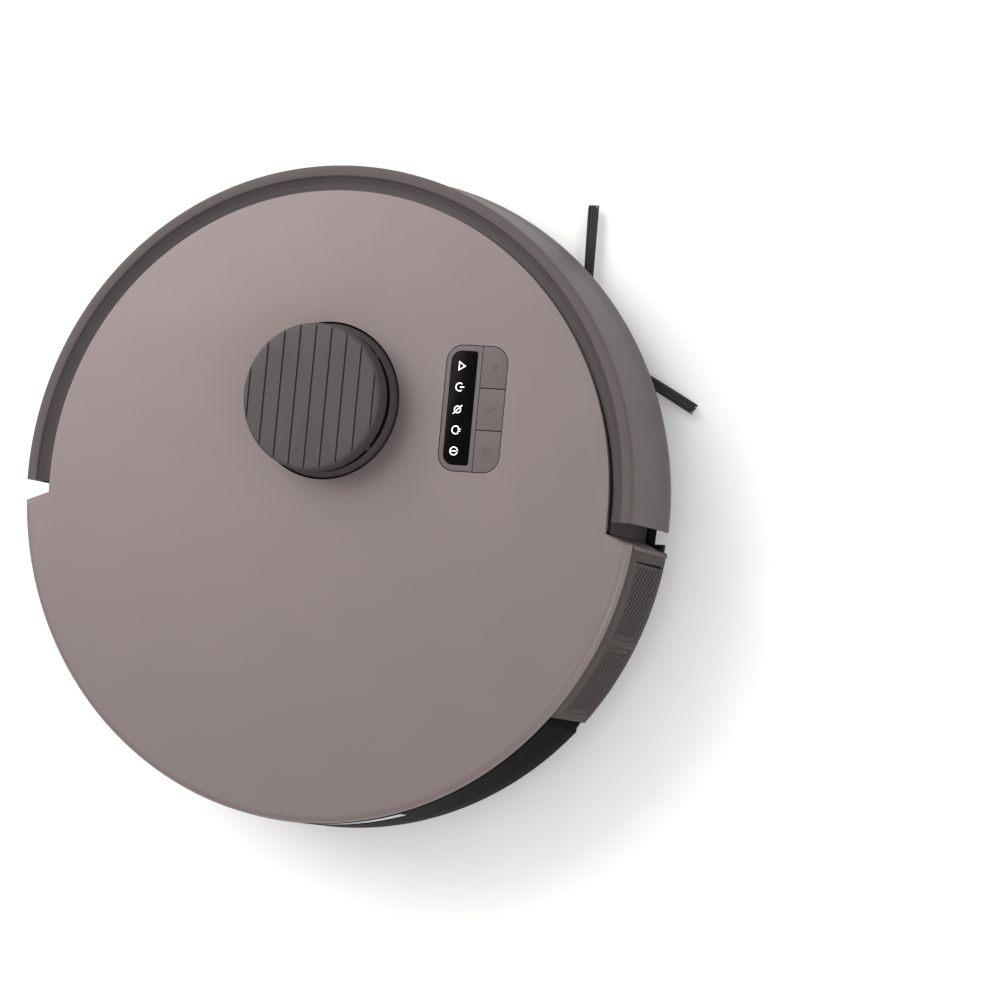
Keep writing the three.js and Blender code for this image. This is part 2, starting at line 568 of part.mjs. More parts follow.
// ---------------------------------------------------------------- driving wheels
function wheelArm() {
  const arm = new THREE.Shape();
  arm.absarc(0, WHEEL_R, 17, Math.PI * 0.5, Math.PI * 1.5);
  arm.lineTo(36, 18);
  arm.absarc(PIVOT.y, PIVOT.z, 12, -Math.PI * 0.5, Math.PI * 0.5);
  const geometry = new THREE.ExtrudeGeometry(arm, { depth: 19.5, bevelEnabled: false, curveSegments: 8 });
  // the outline is drawn in Y and Z and extruded along X
  const [alongX, alongY, alongZ] = [[1, 0, 0], [0, 1, 0], [0, 0, 1]].map((v) => new THREE.Vector3(...v));
  geometry.applyMatrix4(new THREE.Matrix4().makeBasis(alongY, alongZ, alongX)).translate(86, 0, 0);
  const trunnion = barX(77.5, 110, PIVOT.y, PIVOT.z, 4, SMALL);
  const axle = barX(100, 129, 0, WHEEL_R, 3, SMALL);
  return sum([toSolid(geometry), trunnion, axle]);
}
function wheelHub() {
  const rim = turnedX(
    [[3.4, 109], [9, 109], [9, 116], [25, 117], [25, 108.4], [28, 108.4], [28, 128.6], [25, 128.6], [25, 121],
      [9, 124], [9, 127], [3.4, 127], [3.4, 109]],
    0, WHEEL_R, SMALL + 4,
  );
  const holes = [];
  for (let i = 0; i < 6; i += 1) {
    const a = (i / 6) * 2 * Math.PI;
    holes.push(barX(100, 140, 17 * Math.cos(a), WHEEL_R + 17 * Math.sin(a), 3.6, TINY));
  }
  return rim.subtract(sum(holes));
}
function tyre() {
  const half = TYRE_W / 2;
  const body = turnedX(
    [[28.3, WHEEL_X - half], [33.4, WHEEL_X - half], [WHEEL_R, WHEEL_X - half + 2.4],
      [WHEEL_R, WHEEL_X + half - 2.4], [33.4, WHEEL_X + half],
      [28.3, WHEEL_X + half], [28.3, WHEEL_X - half]],
    0, WHEEL_R, SMALL + 4,
  );
  const grooves = [];
  const lugs = 12;
  for (let i = 0; i < lugs; i += 1) {
    const cut = new THREE.BoxGeometry(9, 4, 3.2).rotateZ(rad(24));
    cut.translate(WHEEL_X + (i % 2 ? 8.6 : -8.6), 0, WHEEL_R);
    cut.rotateX(((i + 0.5) / lugs) * 2 * Math.PI);
    cut.translate(0, 0, WHEEL_R);
    grooves.push(toSolid(cut));
  }
  return body.subtract(sum(grooves));
}
function wheelMotor() {
  return turnedX([[0, 57], [3, 57], [3, 59], [12, 60], [12, 85.6], [0, 85.6]], 22, 40, SMALL);
}
function suspensionSpring() {
  // torsion spring wound round the arm's inner trunnion
  const turns = 3;
  class Helix extends THREE.Curve {
    getPoint(t, target = new THREE.Vector3()) {
      const a = t * turns * 2 * Math.PI;
      return target.set(79 + 5.4 * t, PIVOT.y + 6.6 * Math.cos(a), PIVOT.z + 6.6 * Math.sin(a));
    }
  }
  const section = new THREE.Shape();
  section.absarc(0, 0, 0.75, 0, 2 * Math.PI);
  const options = { steps: 10 * turns, extrudePath: new Helix(), curveSegments: 2, bevelEnabled: false };
  return toSolid(new THREE.ExtrudeGeometry(section, options));
}
for (const [name, side] of SIDES) {
  add(`wheel_arm_${name}`, onSide(wheelArm(), side), GREY);
  add(`wheel_hub_${name}`, onSide(wheelHub(), side), GREY);
  add(`tyre_${name}`, onSide(tyre(), side), finish(0x161616, 0.9));
  add(`wheel_motor_${name}`, onSide(wheelMotor(), side), STEEL);
  add(`suspension_spring_${name}`, onSide(suspensionSpring(), side), STEEL);
}

// ---------------------------------------------------------------- caster
function casterSocket() {
  const cup = turned(
    [[22.6, FLOOR_Z0], [25, FLOOR_Z0], [25, 12.3], [26.6, 12.3], [26.6, 14], [25, 14], [25, 38], [4.2, 38],
      [4.2, 35.4], [22.6, 35.4], [22.6, FLOOR_Z0]],
    0, CASTER.y, MID - 4,
  );
  return cup.intersect(post(0, 0, 0, 60, INNER_R - WALL - GAP, FINE));
}
function casterFork() {
  const axleY = CASTER.y - CASTER.trail;
  const body = turned([[0, 11.4], [20.4, 11.4], [22, 14], [22, 34.8], [0, 34.8]], 0, CASTER.y, MID);
  const slot = box(-8.4, 8.4, axleY - 16.6, axleY + 16.6, 0, 31.6);
  const stem = post(0, CASTER.y, 34, 41, 3.9, SMALL);
  const cut = body.subtract(slot).subtract(barX(-30, 30, axleY, CASTER.r, 1.5, TINY));
  return cut.add(stem);
}
function casterWheel() {
  const h = CASTER.w / 2;
  const profile = [
    [1.7, -h], [13.4, -h], [CASTER.r, -h + 2], [CASTER.r, h - 2], [13.4, h], [1.7, h], [1.7, -h],
  ];
  return turnedX(profile, CASTER.y - CASTER.trail, CASTER.r, SMALL);
}
add('caster_socket', casterSocket(), DARK);
add('caster_fork', casterFork(), finish(0xd0d0cc, 0.5));
add('caster_wheel', casterWheel(), finish(0x202020, 0.8));
add('caster_axle', barX(-12, 12, CASTER.y - CASTER.trail, CASTER.r, 1.2, TINY), STEEL);

// ---------------------------------------------------------------- side brush
const HUB_R = 9.4;
function sideBrushHub() {
  const { x, y } = SIDE_BRUSH;
  const hub = turned([[0, 5.4], [6.5, 5.4], [HUB_R, 6.8], [HUB_R, 9], [0, 9]], x, y, SMALL);
  return hub.add(post(x, y, 8.8, 12.1, 3.2, TINY));
}

// collar round the hub with three bristle tufts that slope down to the floor
function sideBrushTufts() {
  const { x, y, reach, az } = SIDE_BRUSH;
  const [collarR, drop] = [HUB_R + 3, 3.2];
  const collar = ring(x, y, 6, 8.4, HUB_R + GAP, collarR, SMALL);
  const outline = fromPoints([[-3, 10.5], [3, 10.5], [2.2, 24], [2.6, reach], [-2.6, reach], [-2.2, 24]]);
  const tuft = new THREE.ExtrudeGeometry(outline, { depth: 1.8, bevelEnabled: false }).translate(0, 0, 6.3);
  const position = tuft.attributes.position;
  for (let i = 0; i < position.count; i += 1) {
    const share = Math.max(0, (position.getY(i) - collarR) / (reach - collarR));
    position.setZ(i, position.getZ(i) - drop * share);
  }
  const arms = [0, 120, 240].map((step) => toSolid(tuft).rotate([0, 0, -(az + step)]).translate([x, y, 0]));
  return sum([collar, ...arms]);
}
add('side_brush', sideBrushHub(), DARK);
add('side_brush_tufts', sideBrushTufts(), finish(0x1c1c1c, 0.85));
const sideMotor = turned(
  [[0, 12.5], [17, 12.5], [17, 29], [11, 29], [11, 46], [2, 46], [2, 48], [0, 48]],
  SIDE_BRUSH.motorX, SIDE_BRUSH.motorY, 28,
);
add('side_brush_motor', sideMotor, GREY);

// ---------------------------------------------------------------- bumper
function bumper() {
  const shell = turned(
    [[150, 75.7], [162.4, 75.7], [165, 29], [164.6, 27], [163, 19.2],
      [165, 18.6], [167, 26.4], [BUMPER_LOW_R, 29.4],
      [166, 55], [BUMPER_R, 79.6], [164.3, 80.8], [159.8, 81], [159.3, 80.6], [159, 79], [156.3, 77.3],
      [150, 77.3], [150, 75.7]],
    0, 0, FINE,
  );
  // the flange under the cover is set back by the travel, so a press never brings it to the turret's deck
  const space = box(-200, 200, -200, 200, 70, 77.3);
  const solid = shell
    .subtract(post(0, -BUMPER_TRAVEL - 0.1, 70, 90, BUMPER_FLANGE_R, FINE).intersect(space))
    .subtract(box(-200, 200, -200, BUMPER_END_Y, 0, 120));
  return solid.subtract(sensorBand(150, 180, 0.4).intersect(sector(-15, 15)));
}
const SENSOR = { z0: 41.4, z1: 56.6 };
function sensorBand(r0, r1, margin) {
  return ring(0, 0, SENSOR.z0 - margin, SENSOR.z1 + margin, r0, r1, FINE);
}
function sensorWindow() {
  const glass = turned(
    [[163.8, SENSOR.z0], [166.2, SENSOR.z0], [165.6, SENSOR.z1], [163, SENSOR.z1], [163.8, SENSOR.z0]],
    0, 0, FINE,
  );
  return glass.intersect(sector(-14.8, 14.8));
}
add('bumper', bumper(), SHELL);
add('sensor_window', sensorWindow(), BLACK_GLOSS);
// push-in switches behind the bumper, their levers reaching forward
for (const [name, side] of SIDES) {
  const az = 38;
  const lever = box(-3, 3, INNER_R + 4.3, INNER_R + 5, 50, 56)
    .add(box(-3, 3, INNER_R + GAP, INNER_R + 4.6, 50, 53));
  add(`bumper_switch_${name}`, onSide(lever.rotate([0, 0, -az]), side), STEEL);
}

// ---------------------------------------------------------------- dust bin
function binOutline(inset) {
  const [narrow, wide] = [BIN_NARROW_X - inset, BIN_WIDE_X - inset];
  const [front, step] = [BIN_FRONT_Y - inset, BIN_STEP_Y - inset];
  const right = [[wide, -175], [wide, step], [narrow, step], [narrow, front]];
  return fromPoints([...right, ...right.map(([x, y]) => [-x, y]).reverse()]);
}
// the bin's rear face: its chamfer carries on the chassis dish's slope
const BIN_CURVE = [
  [0, BIN_LOW_Z], [152.6, BIN_LOW_Z], [166.2, 24], [166.2, WALL_LOW_Z],
  [BODY_R - 0.9, WALL_LOW_Z], [BODY_R, 28.4],
  [BODY_TOP_R, DECK_Z], [0, DECK_Z],
];
const BIN_HOLLOW = [
  [0, 0], [150.6, 0], [150.6, BIN_LOW_Z + 2], [163.6, 25.5], [164.8, 29], [163.6, 90], [0, 90],
];
function dustBin() {
  const envelope = turned(BIN_CURVE, 0, 0, FINE);
  const low = plate(binOutline(0), BIN_LOW_Z - 1, BIN_TOP_Z);
  const rearSector = sector(BIN_AZ + 0.25, 360 - BIN_AZ - 0.25);
  const rearBand = ring(0, 0, BIN_TOP_Z - 1, DECK_Z, BODY_TOP_R - 3, 170, FINE).intersect(rearSector);
  const reach = rearSector.add(box(-BIN_WIDE_X, BIN_WIDE_X, -160, BIN_FRONT_Y + 1, 0, 100));
  const outer = low.add(rearBand).intersect(envelope).intersect(reach);
  const hollow = plate(binOutline(2), BIN_LOW_Z + 2, BIN_TOP_Z + 10)
    .intersect(turned(BIN_HOLLOW, 0, 0, FINE));
  let solid = outer.subtract(hollow);
  solid = solid.subtract(box(-30, 30, BIN_FRONT_Y - 5, BIN_FRONT_Y + 5, 30, 51)); // dirt inlet
  solid = solid.subtract(box(87.4, 109, BIN_STEP_Y - 5, BIN_STEP_Y + 5, 49, 67)); // air outlet to the fan
  for (const [, side] of SIDES) {
    solid = solid.add(onSide(box(33.4, 35.4, FLAP_Y - 2.4, BIN_FRONT_Y - 1, 51.5, 57), side)); // flap pivots
  }
  // a boss behind the release strip
  solid = solid.add(arcBand(RELEASE.half + 2, 160.6, 165, RELEASE.z0 - 2.4, BIN_TOP_Z));
  return solid.subtract(arcBand(RELEASE.half, 163.4, 175, RELEASE.z0, RELEASE.z1));
}
const FLAP_Y = BIN_FRONT_Y - 4.8;
const RELEASE = { half: 19.4, z0: 58.6, z1: 71.4 };
function arcBand(az, r0, r1, z0, z1) {
  return ring(0, 0, z0, z1, r0, r1, FINE).intersect(sector(180 - az, 180 + az));
}
function binLid() {
  return plate(binOutline(2.4), BIN_TOP_Z - 2, BIN_TOP_Z - 0.3).intersect(post(0, 0, 0, 100, 160, FINE));
}
function binFlap() {
  // hangs from its top edge, just inside the dirt inlet
  return box(-31.5, 31.5, FLAP_Y - 0.8, FLAP_Y + 0.8, 28.6, 54)
    .add(barX(-33, 33, FLAP_Y, 54, 1.6, TINY));
}
function binFilter() {
  const frame = box(84, 113, BIN_STEP_Y - 9, BIN_STEP_Y - 2.4, 46, 69.6);
  const pleats = [];
  for (let i = 0; i < 8; i += 1) {
    const x = 88 + i * 2.7;
    pleats.push(box(x - 0.9, x + 0.9, BIN_STEP_Y - 12, BIN_STEP_Y - 4.4, 49, 67));
  }
  return frame.subtract(sum(pleats));
}
function binRelease() {
  const wall = turned([[0, 20], [BODY_R, 28.4], [BODY_TOP_R, DECK_Z], [0, DECK_Z]], 0, 0, FINE);
  return arcBand(RELEASE.half - 0.2, 165.2, 167.1, RELEASE.z0 + 0.4, RELEASE.z1 - 0.4).intersect(wall);
}
add('dust_bin', dustBin(), finish(0x1a1a1a, 0.35));
add('bin_lid', binLid(), finish(0x3a3d40, 0.3));
add('bin_flap', binFlap(), GREY);
add('bin_filter', binFilter(), finish(0xe8e6df, 0.9));
add('bin_release', binRelease(), STEEL);

export default root;
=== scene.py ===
# Looks of the robot vacuum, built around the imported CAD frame. Blender 4.5, metres, +Z up,
# +Y towards the bumper. Azimuths are degrees clockwise from +Y, seen from above.
# MM turns millimetres into metres.
import json
import random
from math import asin, atan2, copysign, cos, degrees, hypot, pi, radians, sin, sqrt, tan

import bmesh
import bpy
from mathutils import Matrix, Vector


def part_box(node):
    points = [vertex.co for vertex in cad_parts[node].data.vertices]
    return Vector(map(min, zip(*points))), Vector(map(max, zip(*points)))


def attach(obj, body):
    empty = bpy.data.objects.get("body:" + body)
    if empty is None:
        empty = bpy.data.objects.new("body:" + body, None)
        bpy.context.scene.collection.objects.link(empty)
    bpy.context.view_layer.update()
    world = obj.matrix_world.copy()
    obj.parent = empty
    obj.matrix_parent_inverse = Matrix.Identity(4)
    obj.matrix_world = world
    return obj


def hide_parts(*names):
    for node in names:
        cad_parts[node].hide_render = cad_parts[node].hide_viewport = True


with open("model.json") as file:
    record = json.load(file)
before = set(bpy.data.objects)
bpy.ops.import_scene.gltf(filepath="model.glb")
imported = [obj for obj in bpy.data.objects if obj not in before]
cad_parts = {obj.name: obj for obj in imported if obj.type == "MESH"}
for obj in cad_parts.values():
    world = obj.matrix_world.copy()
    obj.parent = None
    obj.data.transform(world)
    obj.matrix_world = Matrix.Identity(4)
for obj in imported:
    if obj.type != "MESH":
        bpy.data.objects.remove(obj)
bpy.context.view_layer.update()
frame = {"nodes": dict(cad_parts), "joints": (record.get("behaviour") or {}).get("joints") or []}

MM = 0.001
random.seed(7)


# ---------- places, from the frame
def low(node):
    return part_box(node)[0]


def high(node):
    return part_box(node)[1]


def middle(node):
    return (low(node) + high(node)) / 2


JOINTS = {j["name"]: j for j in frame["joints"]}


def pivot(joint):
    return Vector(JOINTS[joint]["pos_m"])


COVER_Z = high("top_cover").z
COVER_LOW_Z = low("top_cover").z
REAR_R = -low("dust_bin").y  # rear wall, low down where it is widest
REAR_TOP_R = -low("top_cover").y  # cover's rear edge
FRONT_R = high("top_cover").y  # cover's front edge, inside the bumper
BUMPER_LOW_R = high("bumper").y
BUMPER_LOW_Z = low("bumper").z
BUMPER_END_Y = low("bumper").y
WALL_LOW_Z = low("upper_housing").z + 9 * MM
INNER_R = FRONT_R + 1.1 * MM  # fixed wall behind the bumper
DECK_Z = COVER_LOW_Z - 0.35 * MM
TURRET = middle("turret_ring")
HUB = (TURRET.x, TURRET.y)
TURRET_HOLE_R = 39.9 * MM
RING_R = (high("turret_ring").x - low("turret_ring").x) / 2
RING_TOP_Z = high("turret_ring").z
CAP_R = (high("turret_cap").x - low("turret_cap").x) / 2
CAP_TOP_Z = high("turret_cap").z
CAP_LOW_Z = 88.6 * MM
GROOVE_PITCH = 8.4 * MM
PANEL_R = 8.5 * MM  # corners of the control panel
KEY_CORNER_R = 0.5 * MM
BUTTONS = ("button_low", "button_middle", "button_high")
BIN_AZ = 128.2  # edge between the side wall and the dust bin
BIN_RIM_Z = 72 * MM
BIN_STEP_Y = -102.2 * MM
BIN_NARROW_X, BIN_WIDE_X, BIN_FRONT_Y = 82 * MM, 128.6 * MM, high("dust_bin").y
NOTCH_IN_Y = -10.7 * MM
NOTCH_OUT_Y = -15.3 * MM
FLOOR_Z = low("bottom_cover").z
VENT_FIELDS = [(97.9, 111.5), (113.0, 126.4)]
VENT_LOW_Z, VENT_HIGH_Z = low("vent_grille_right").z, high("vent_grille_right").z
SLAT_TILT = radians(37)
SLAT_PITCH = 3.5 * MM
SLOT_WIDTH = 1.4 * MM
SLOT_MARGIN = 2.4 * MM  # plain border round the slots
LUGS = 22  # in each of a tyre's two rows
LUG_LEAN = radians(24)
VANES = 5
VANE_TWIST = radians(70)
ARM_AZ = -2  # first arm of the side brush
STRANDS = 96  # in each tuft of the side brush


# ---------- materials
def new_material(name):
    material = bpy.data.materials.new(name)
    material.use_nodes = True
    tree = material.node_tree
    return material, tree, tree.nodes["Principled BSDF"]


def add_node(tree, kind, **values):
    node = tree.nodes.new(kind)
    for key, value in values.items():
        if key in node.inputs:
            node.inputs[key].default_value = value
        else:
            setattr(node, key, value)
    return node


def noise(tree, size, detail=3.0, stretch=(1, 1, 1)):
    """Noise whose features are about `size` metres across; stretch shrinks it along an axis."""
    coord = add_node(tree, "ShaderNodeTexCoord")
    mapping = add_node(tree, "ShaderNodeMapping")
    mapping.inputs["Scale"].default_value = stretch
    texture = add_node(tree, "ShaderNodeTexNoise", Scale=1 / size, Detail=detail)
    tree.links.new(coord.outputs["Object"], mapping.inputs["Vector"])
    tree.links.new(mapping.outputs["Vector"], texture.inputs["Vector"])
    return texture.outputs["Fac"]


def ranged(tree, value, low_value, high_value):
    node = add_node(tree, "ShaderNodeMapRange")
    node.inputs["From Min"].default_value = 0.3
    node.inputs["From Max"].default_value = 0.7
    node.inputs["To Min"].default_value = low_value
    node.inputs["To Max"].default_value = high_value
    tree.links.new(value, node.inputs["Value"])
    return node.outputs["Result"]


def tinted(tree, value, dark, light):
    ramp = add_node(tree, "ShaderNodeValToRGB")
    ramp.color_ramp.elements[0].position = 0.3
    ramp.color_ramp.elements[1].position = 0.7
    ramp.color_ramp.elements[0].color = (*dark, 1)
    ramp.color_ramp.elements[1].color = (*light, 1)
    tree.links.new(value, ramp.inputs["Fac"])
    return ramp.outputs["Color"]


def linear(hex_colour):
    parts = [int(hex_colour[i:i + 2], 16) / 255 for i in (0, 2, 4)]
    return tuple(p / 12.92 if p < 0.04045 else ((p + 0.055) / 1.055) ** 2.4 for p in parts)


def moulded(name, hex_colour, roughness, grain=0.25 * MM, relief=0.15, metallic=0.0, mottle=0.05, coat=0.0,
            specular=0.5, spread=0.05, stretch=(1, 1, 1)):
    """Moulded or painted surface: broad mottling of colour and gloss over a fine grain."""
    material, tree, shader = new_material(name)
    colour = linear(hex_colour)
    broad = noise(tree, 25 * MM)
    fine = noise(tree, grain, 4.0, stretch)
    dark = tuple(c * (1 - mottle) for c in colour)
    light = tuple(min(1, c * (1 + mottle)) for c in colour)
    tree.links.new(tinted(tree, broad, dark, light), shader.inputs["Base Color"])
    tree.links.new(ranged(tree, fine, roughness - spread, roughness + spread), shader.inputs["Roughness"])
    bump = add_node(tree, "ShaderNodeBump", Strength=relief, Distance=0.05 * MM)
    tree.links.new(fine, bump.inputs["Height"])
    tree.links.new(bump.outputs["Normal"], shader.inputs["Normal"])
    shader.inputs["Metallic"].default_value = metallic
    shader.inputs["Coat Weight"].default_value = coat
    shader.inputs["Specular IOR Level"].default_value = specular
    return material


def lit(name, hex_colour, strength):
    material, tree, shader = new_material(name)
    colour = linear(hex_colour)
    patchy = noise(tree, 2 * MM)
    tree.links.new(tinted(tree, patchy, tuple(c * 0.92 for c in colour), colour), shader.inputs["Base Color"])
    shader.inputs["Emission Color"].default_value = (*colour, 1)
    shader.inputs["Emission Strength"].default_value = strength
    shader.inputs["Roughness"].default_value = 0.5
    return material


MATERIALS = {
    "cover": moulded("satin_champagne_paint", "736867", 0.5, 0.3 * MM, 0.05, metallic=0.5, mottle=0.012),
    "shell": moulded("taupe_moulding", "4F4847", 0.5, 0.35 * MM, 0.22, mottle=0.02, specular=0.2),
    # darker copy of the taupe shell: painted shade for the bumper's recessed band
    "ledge": moulded("taupe_moulding_painted_recess_shade", "443D3D", 0.6, 0.35 * MM, 0.25, mottle=0.03, specular=0.25),
    # darker copy of the taupe shell: painted shade on the side walls, their grille panels and the wall behind
    # the bumper
    "shell_painted_shade": moulded("taupe_moulding_painted_shade", "423B3A", 0.55, 0.35 * MM, 0.25, mottle=0.03,
                          specular=0.06),
    "turret": moulded("turret_moulding", "433C3C", 0.5, 0.3 * MM, 0.25, mottle=0.02, specular=0.25),
    "turret_dark": moulded("turret_moulding_dark", "3E3838", 0.5, 0.3 * MM, 0.25, mottle=0.02, specular=0.25),
    "bin_black": moulded("bin_black", "100F0F", 0.4, 0.5 * MM, 0.08, mottle=0.06, specular=0.004),
    "panel": moulded("panel_moulding", "5A5050", 0.48, 0.3 * MM, 0.15, mottle=0.015, specular=0.3),
    "black": moulded("black_moulding", "1A1919", 0.45, 0.4 * MM, 0.25, mottle=0.08, specular=0.3),
    "black_matt": moulded("black_matt_moulding", "1C1B1B", 0.62, 0.4 * MM, 0.5, mottle=0.1),
    "gloss": moulded("black_window", "020202", 0.2, 3 * MM, 0.01, mottle=0.02, spread=0.02, specular=0.05),
    "grey": moulded("grey_moulding", "4B4947", 0.55, 0.5 * MM, 0.4, mottle=0.05),
    "steel": moulded("brushed_metal", "B9B9BC", 0.28, 0.2 * MM, 0.2, metallic=1.0, mottle=0.04,
                     stretch=(1, 12, 12)),
    "silver": moulded("silver_trim", "C9C9CC", 0.22, 0.25 * MM, 0.08, metallic=1.0, mottle=0.03,
                      stretch=(1, 1, 14)),
    "tyre": moulded("tyre_rubber", "151515", 0.82, 0.5 * MM, 0.7, mottle=0.12, specular=0.3),
    "brush_rubber": moulded("brush_rubber", "27344C", 0.6, 0.4 * MM, 0.3, mottle=0.08),
    "bristle": moulded("black_bristle", "121212", 0.55, 0.3 * MM, 0.3, mottle=0.2),
    "belt": moulded("belt_rubber", "101010", 0.8, 0.4 * MM, 0.4, mottle=0.1),
    "board": moulded("circuit_board_green", "14532F", 0.4, 1.2 * MM, 0.2, mottle=0.12, coat=0.3),
    "wrap": moulded("battery_wrap", "1F3B66", 0.35, 0.8 * MM, 0.1, mottle=0.05, coat=0.2),
    "paper": moulded("filter_paper", "D9D6CC", 0.9, 0.4 * MM, 0.8, mottle=0.06, specular=0.2),
    "smoked": moulded("smoked_plastic", "2B2D30", 0.15, 0.5 * MM, 0.03, mottle=0.05, coat=0.4),
    "nylon": moulded("pale_nylon", "BDBDB8", 0.5, 0.4 * MM, 0.25, mottle=0.04),
    # near-black colour for sheets put in holes and slots: painted shade
    "cavity": moulded("painted_shade_cavity", "060606", 0.9, 0.5 * MM, 0.1, mottle=0.1, specular=0.1),
    "mark": moulded("faint_mark", "453E3E", 0.6, 0.3 * MM, 0.1, mottle=0.03, specular=0.2),
    "icon": lit("lit_icon", "F4F4F2", 0.9),
}


# ---------- points and profiles
def mm(points):
    """Points given in millimetres, in metres."""
    return [tuple(v * MM for v in p) for p in points]


def near(u, v, *offsets):
    """Points at offsets, given in millimetres, from the place (u, v)."""
    return [(u + du * MM, v + dv * MM) for du, dv in offsets]


def section(r0, r1, z0, z1):
    """Rectangular (r, z) profile."""
    return [(r0, z0), (r1, z0), (r1, z1), (r0, z1)]


def polar(r, az, z, centre=(0, 0)):
    a = radians(az)
    return Vector((centre[0] + r * sin(a), centre[1] + r * cos(a), z))


def inset(outline, d):
    """Moves a closed counter-clockwise outline inwards by d."""
    result = []
    n = len(outline)
    for i in range(n):
        a, b, c = Vector(outline[i - 1]), Vector(outline[i]), Vector(outline[(i + 1) % n])
        before, after = (b - a).normalized(), (c - b).normalized()
        normal = Vector((-before.y - after.y, before.x + after.x)).normalized()
        lean = max(0.4, normal.dot(Vector((-before.y, before.x))))
        result.append(b + normal * (d / lean))
    return result


def rounded_rect(x0, x1, y0, y1, radii, steps=8):
    """Counter-clockwise outline; radii for the corners (x1 y0), (x1 y1), (x0 y1), (x0 y0)."""
    corners = [(x1, y0, 1, -1), (x1, y1, 1, 1), (x0, y1, -1, 1), (x0, y0, -1, -1)]
    points = []
    for k, ((x, y, sx, sy), r) in enumerate(zip(corners, radii)):
        start = pi / 2 * (k - 1)
        for i in range(steps + 1):
            a = start + pi / 2 * i / steps
            points.append(Vector((x - sx * r + r * cos(a), y - sy * r + r * sin(a))))
    return points


def circle(x, y, r, steps=64):
    return [Vector((x + r * cos(2 * pi * i / steps), y + r * sin(2 * pi * i / steps)))
            for i in range(steps)]


def plan(node, radius, grow=0.0, steps=8):
    """Outline of a CAD node seen from above, with rounded corners, moved outwards by grow."""
    lo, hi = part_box(node)
    radii = radius if isinstance(radius, list) else [radius] * 4
    return rounded_rect(lo.x - grow, hi.x + grow, lo.y - grow, hi.y + grow, radii, steps)


def rounded_profile(points, radii, steps=5):
    """Closed (r, z) profile with its corners rounded by radii in millimetres, 0 for a sharp one."""
    result = []
    n = len(points)
    for i in range(n):
        p, r = Vector(points[i]), radii[i] * MM
        if r <= 0:
            result.append(tuple(p))
            continue
        a, b = (Vector(points[i - 1]) - p).normalized(), (Vector(points[(i + 1) % n]) - p).normalized()
        half = a.angle(b) / 2
        reach = r / tan(half)
        centre = p + (a + b).normalized() * (r / sin(half))
        start, end = p + a * reach, p + b * reach
        v0, v1 = start - centre, end - centre
        sweep = v0.angle_signed(v1)
        for k in range(steps + 1):
            angle = -sweep * k / steps
            c, s = cos(angle), sin(angle)
            result.append((centre.x + v0.x * c - v0.y * s, centre.y + v0.x * s + v0.y * c))
    return result


# ---------- solids
def from_bmesh(name, bm):
    bmesh.ops.recalc_face_normals(bm, faces=bm.faces[:])
    mesh = bpy.data.meshes.new(name)
    bm.to_mesh(mesh)
    bm.free()
    piece = bpy.data.objects.new(name, mesh)
    bpy.context.scene.collection.objects.link(piece)
    return piece


def loft(name, rings, around=False):
    """Skin over closed rings of points. around joins the last ring to the first, else the ends are capped."""
    bm = bmesh.new()
    rows = [[bm.verts.new(p) for p in ring] for ring in rings]
    pairs = list(zip(rows, rows[1:])) + ([(rows[-1], rows[0])] if around else [])
    for a, b in pairs:
        n = len(a)
        for i in range(n):
            bm.faces.new((a[i], a[(i + 1) % n], b[(i + 1) % n], b[i]))
    if not around:
        bm.faces.new(rows[0])
        bm.faces.new(rows[-1][::-1])
    return from_bmesh(name, bm)


def revolve(name, profile, az0=0.0, az1=360.0, steps=240, centre=(0, 0), shape=None):
    """Solid swept round the vertical through centre by a closed (r, z) profile. shape may move a point."""
    full = az1 - az0 >= 360
    count = steps if full else steps + 1
    rings = []
    for i in range(count):
        az = az0 + (az1 - az0) * i / steps
        ring = [polar(r, az, z, centre) for r, z in profile]
        rings.append([shape(p, az, k) for k, p in enumerate(ring)] if shape else ring)
    return loft(name, rings, around=full)


def lathe(name, profile, centre=(0, 0), steps=96):
    """Closed solid of revolution whose (r, z) profile starts and ends on the axis."""
    bm = bmesh.new()
    rows = []
    for r, z in profile:
        if r < 1e-7:
            rows.append([bm.verts.new((centre[0], centre[1], z))])
        else:
            rows.append([bm.verts.new(polar(r, 360 * i / steps, z, centre)) for i in range(steps)])
    for a, b in zip(rows, rows[1:]):
        for i in range(steps):
            j = (i + 1) % steps
            if len(a) == 1:
                bm.faces.new((a[0], b[i], b[j]))
            elif len(b) == 1:
                bm.faces.new((a[i], b[0], a[j]))
            else:
                bm.faces.new((a[i], b[i], b[j], a[j]))
    return from_bmesh(name, bm)


def rounded_edge(outline, edge, z, sign, rounds=3):
    """Rings from the wall up to the flat face at z (sign 1), or from the face at z up to the wall (-1)."""
    rings = []
    for i in range(rounds + 1):
        a = pi / 2 * i / rounds
        up, out = (sin(a), cos(a)) if sign > 0 else (cos(a), sin(a))
        rings.append([(p.x, p.y, z - sign * edge * (1 - up)) for p in inset(outline, edge * (1 - out))])
    return rings


def prism(name, outline, z0, z1, edge=0.0, low_edge=0.0):
    """Upright solid with rounded upper and lower edges."""
    flat_low, flat_high = [[(p[0], p[1], z) for p in outline] for z in (z0, z1)]
    rings = rounded_edge(outline, low_edge, z0, -1) if low_edge else [flat_low]
    rings += rounded_edge(outline, edge, z1, 1) if edge else [flat_high]
    return loft(name, rings)


def block(name, lo, hi, edge=0.0):
    outline = rounded_rect(lo[0], hi[0], lo[1], hi[1], [max(edge, 1e-5)] * 4, 3)
    return prism(name, outline, lo[2], hi[2], edge, edge)


def peg(name, x, y, r, z0, z1, steps=24, edge=0.0, low_edge=0.0):
    return prism(name, circle(x, y, r, steps), z0, z1, edge, low_edge)


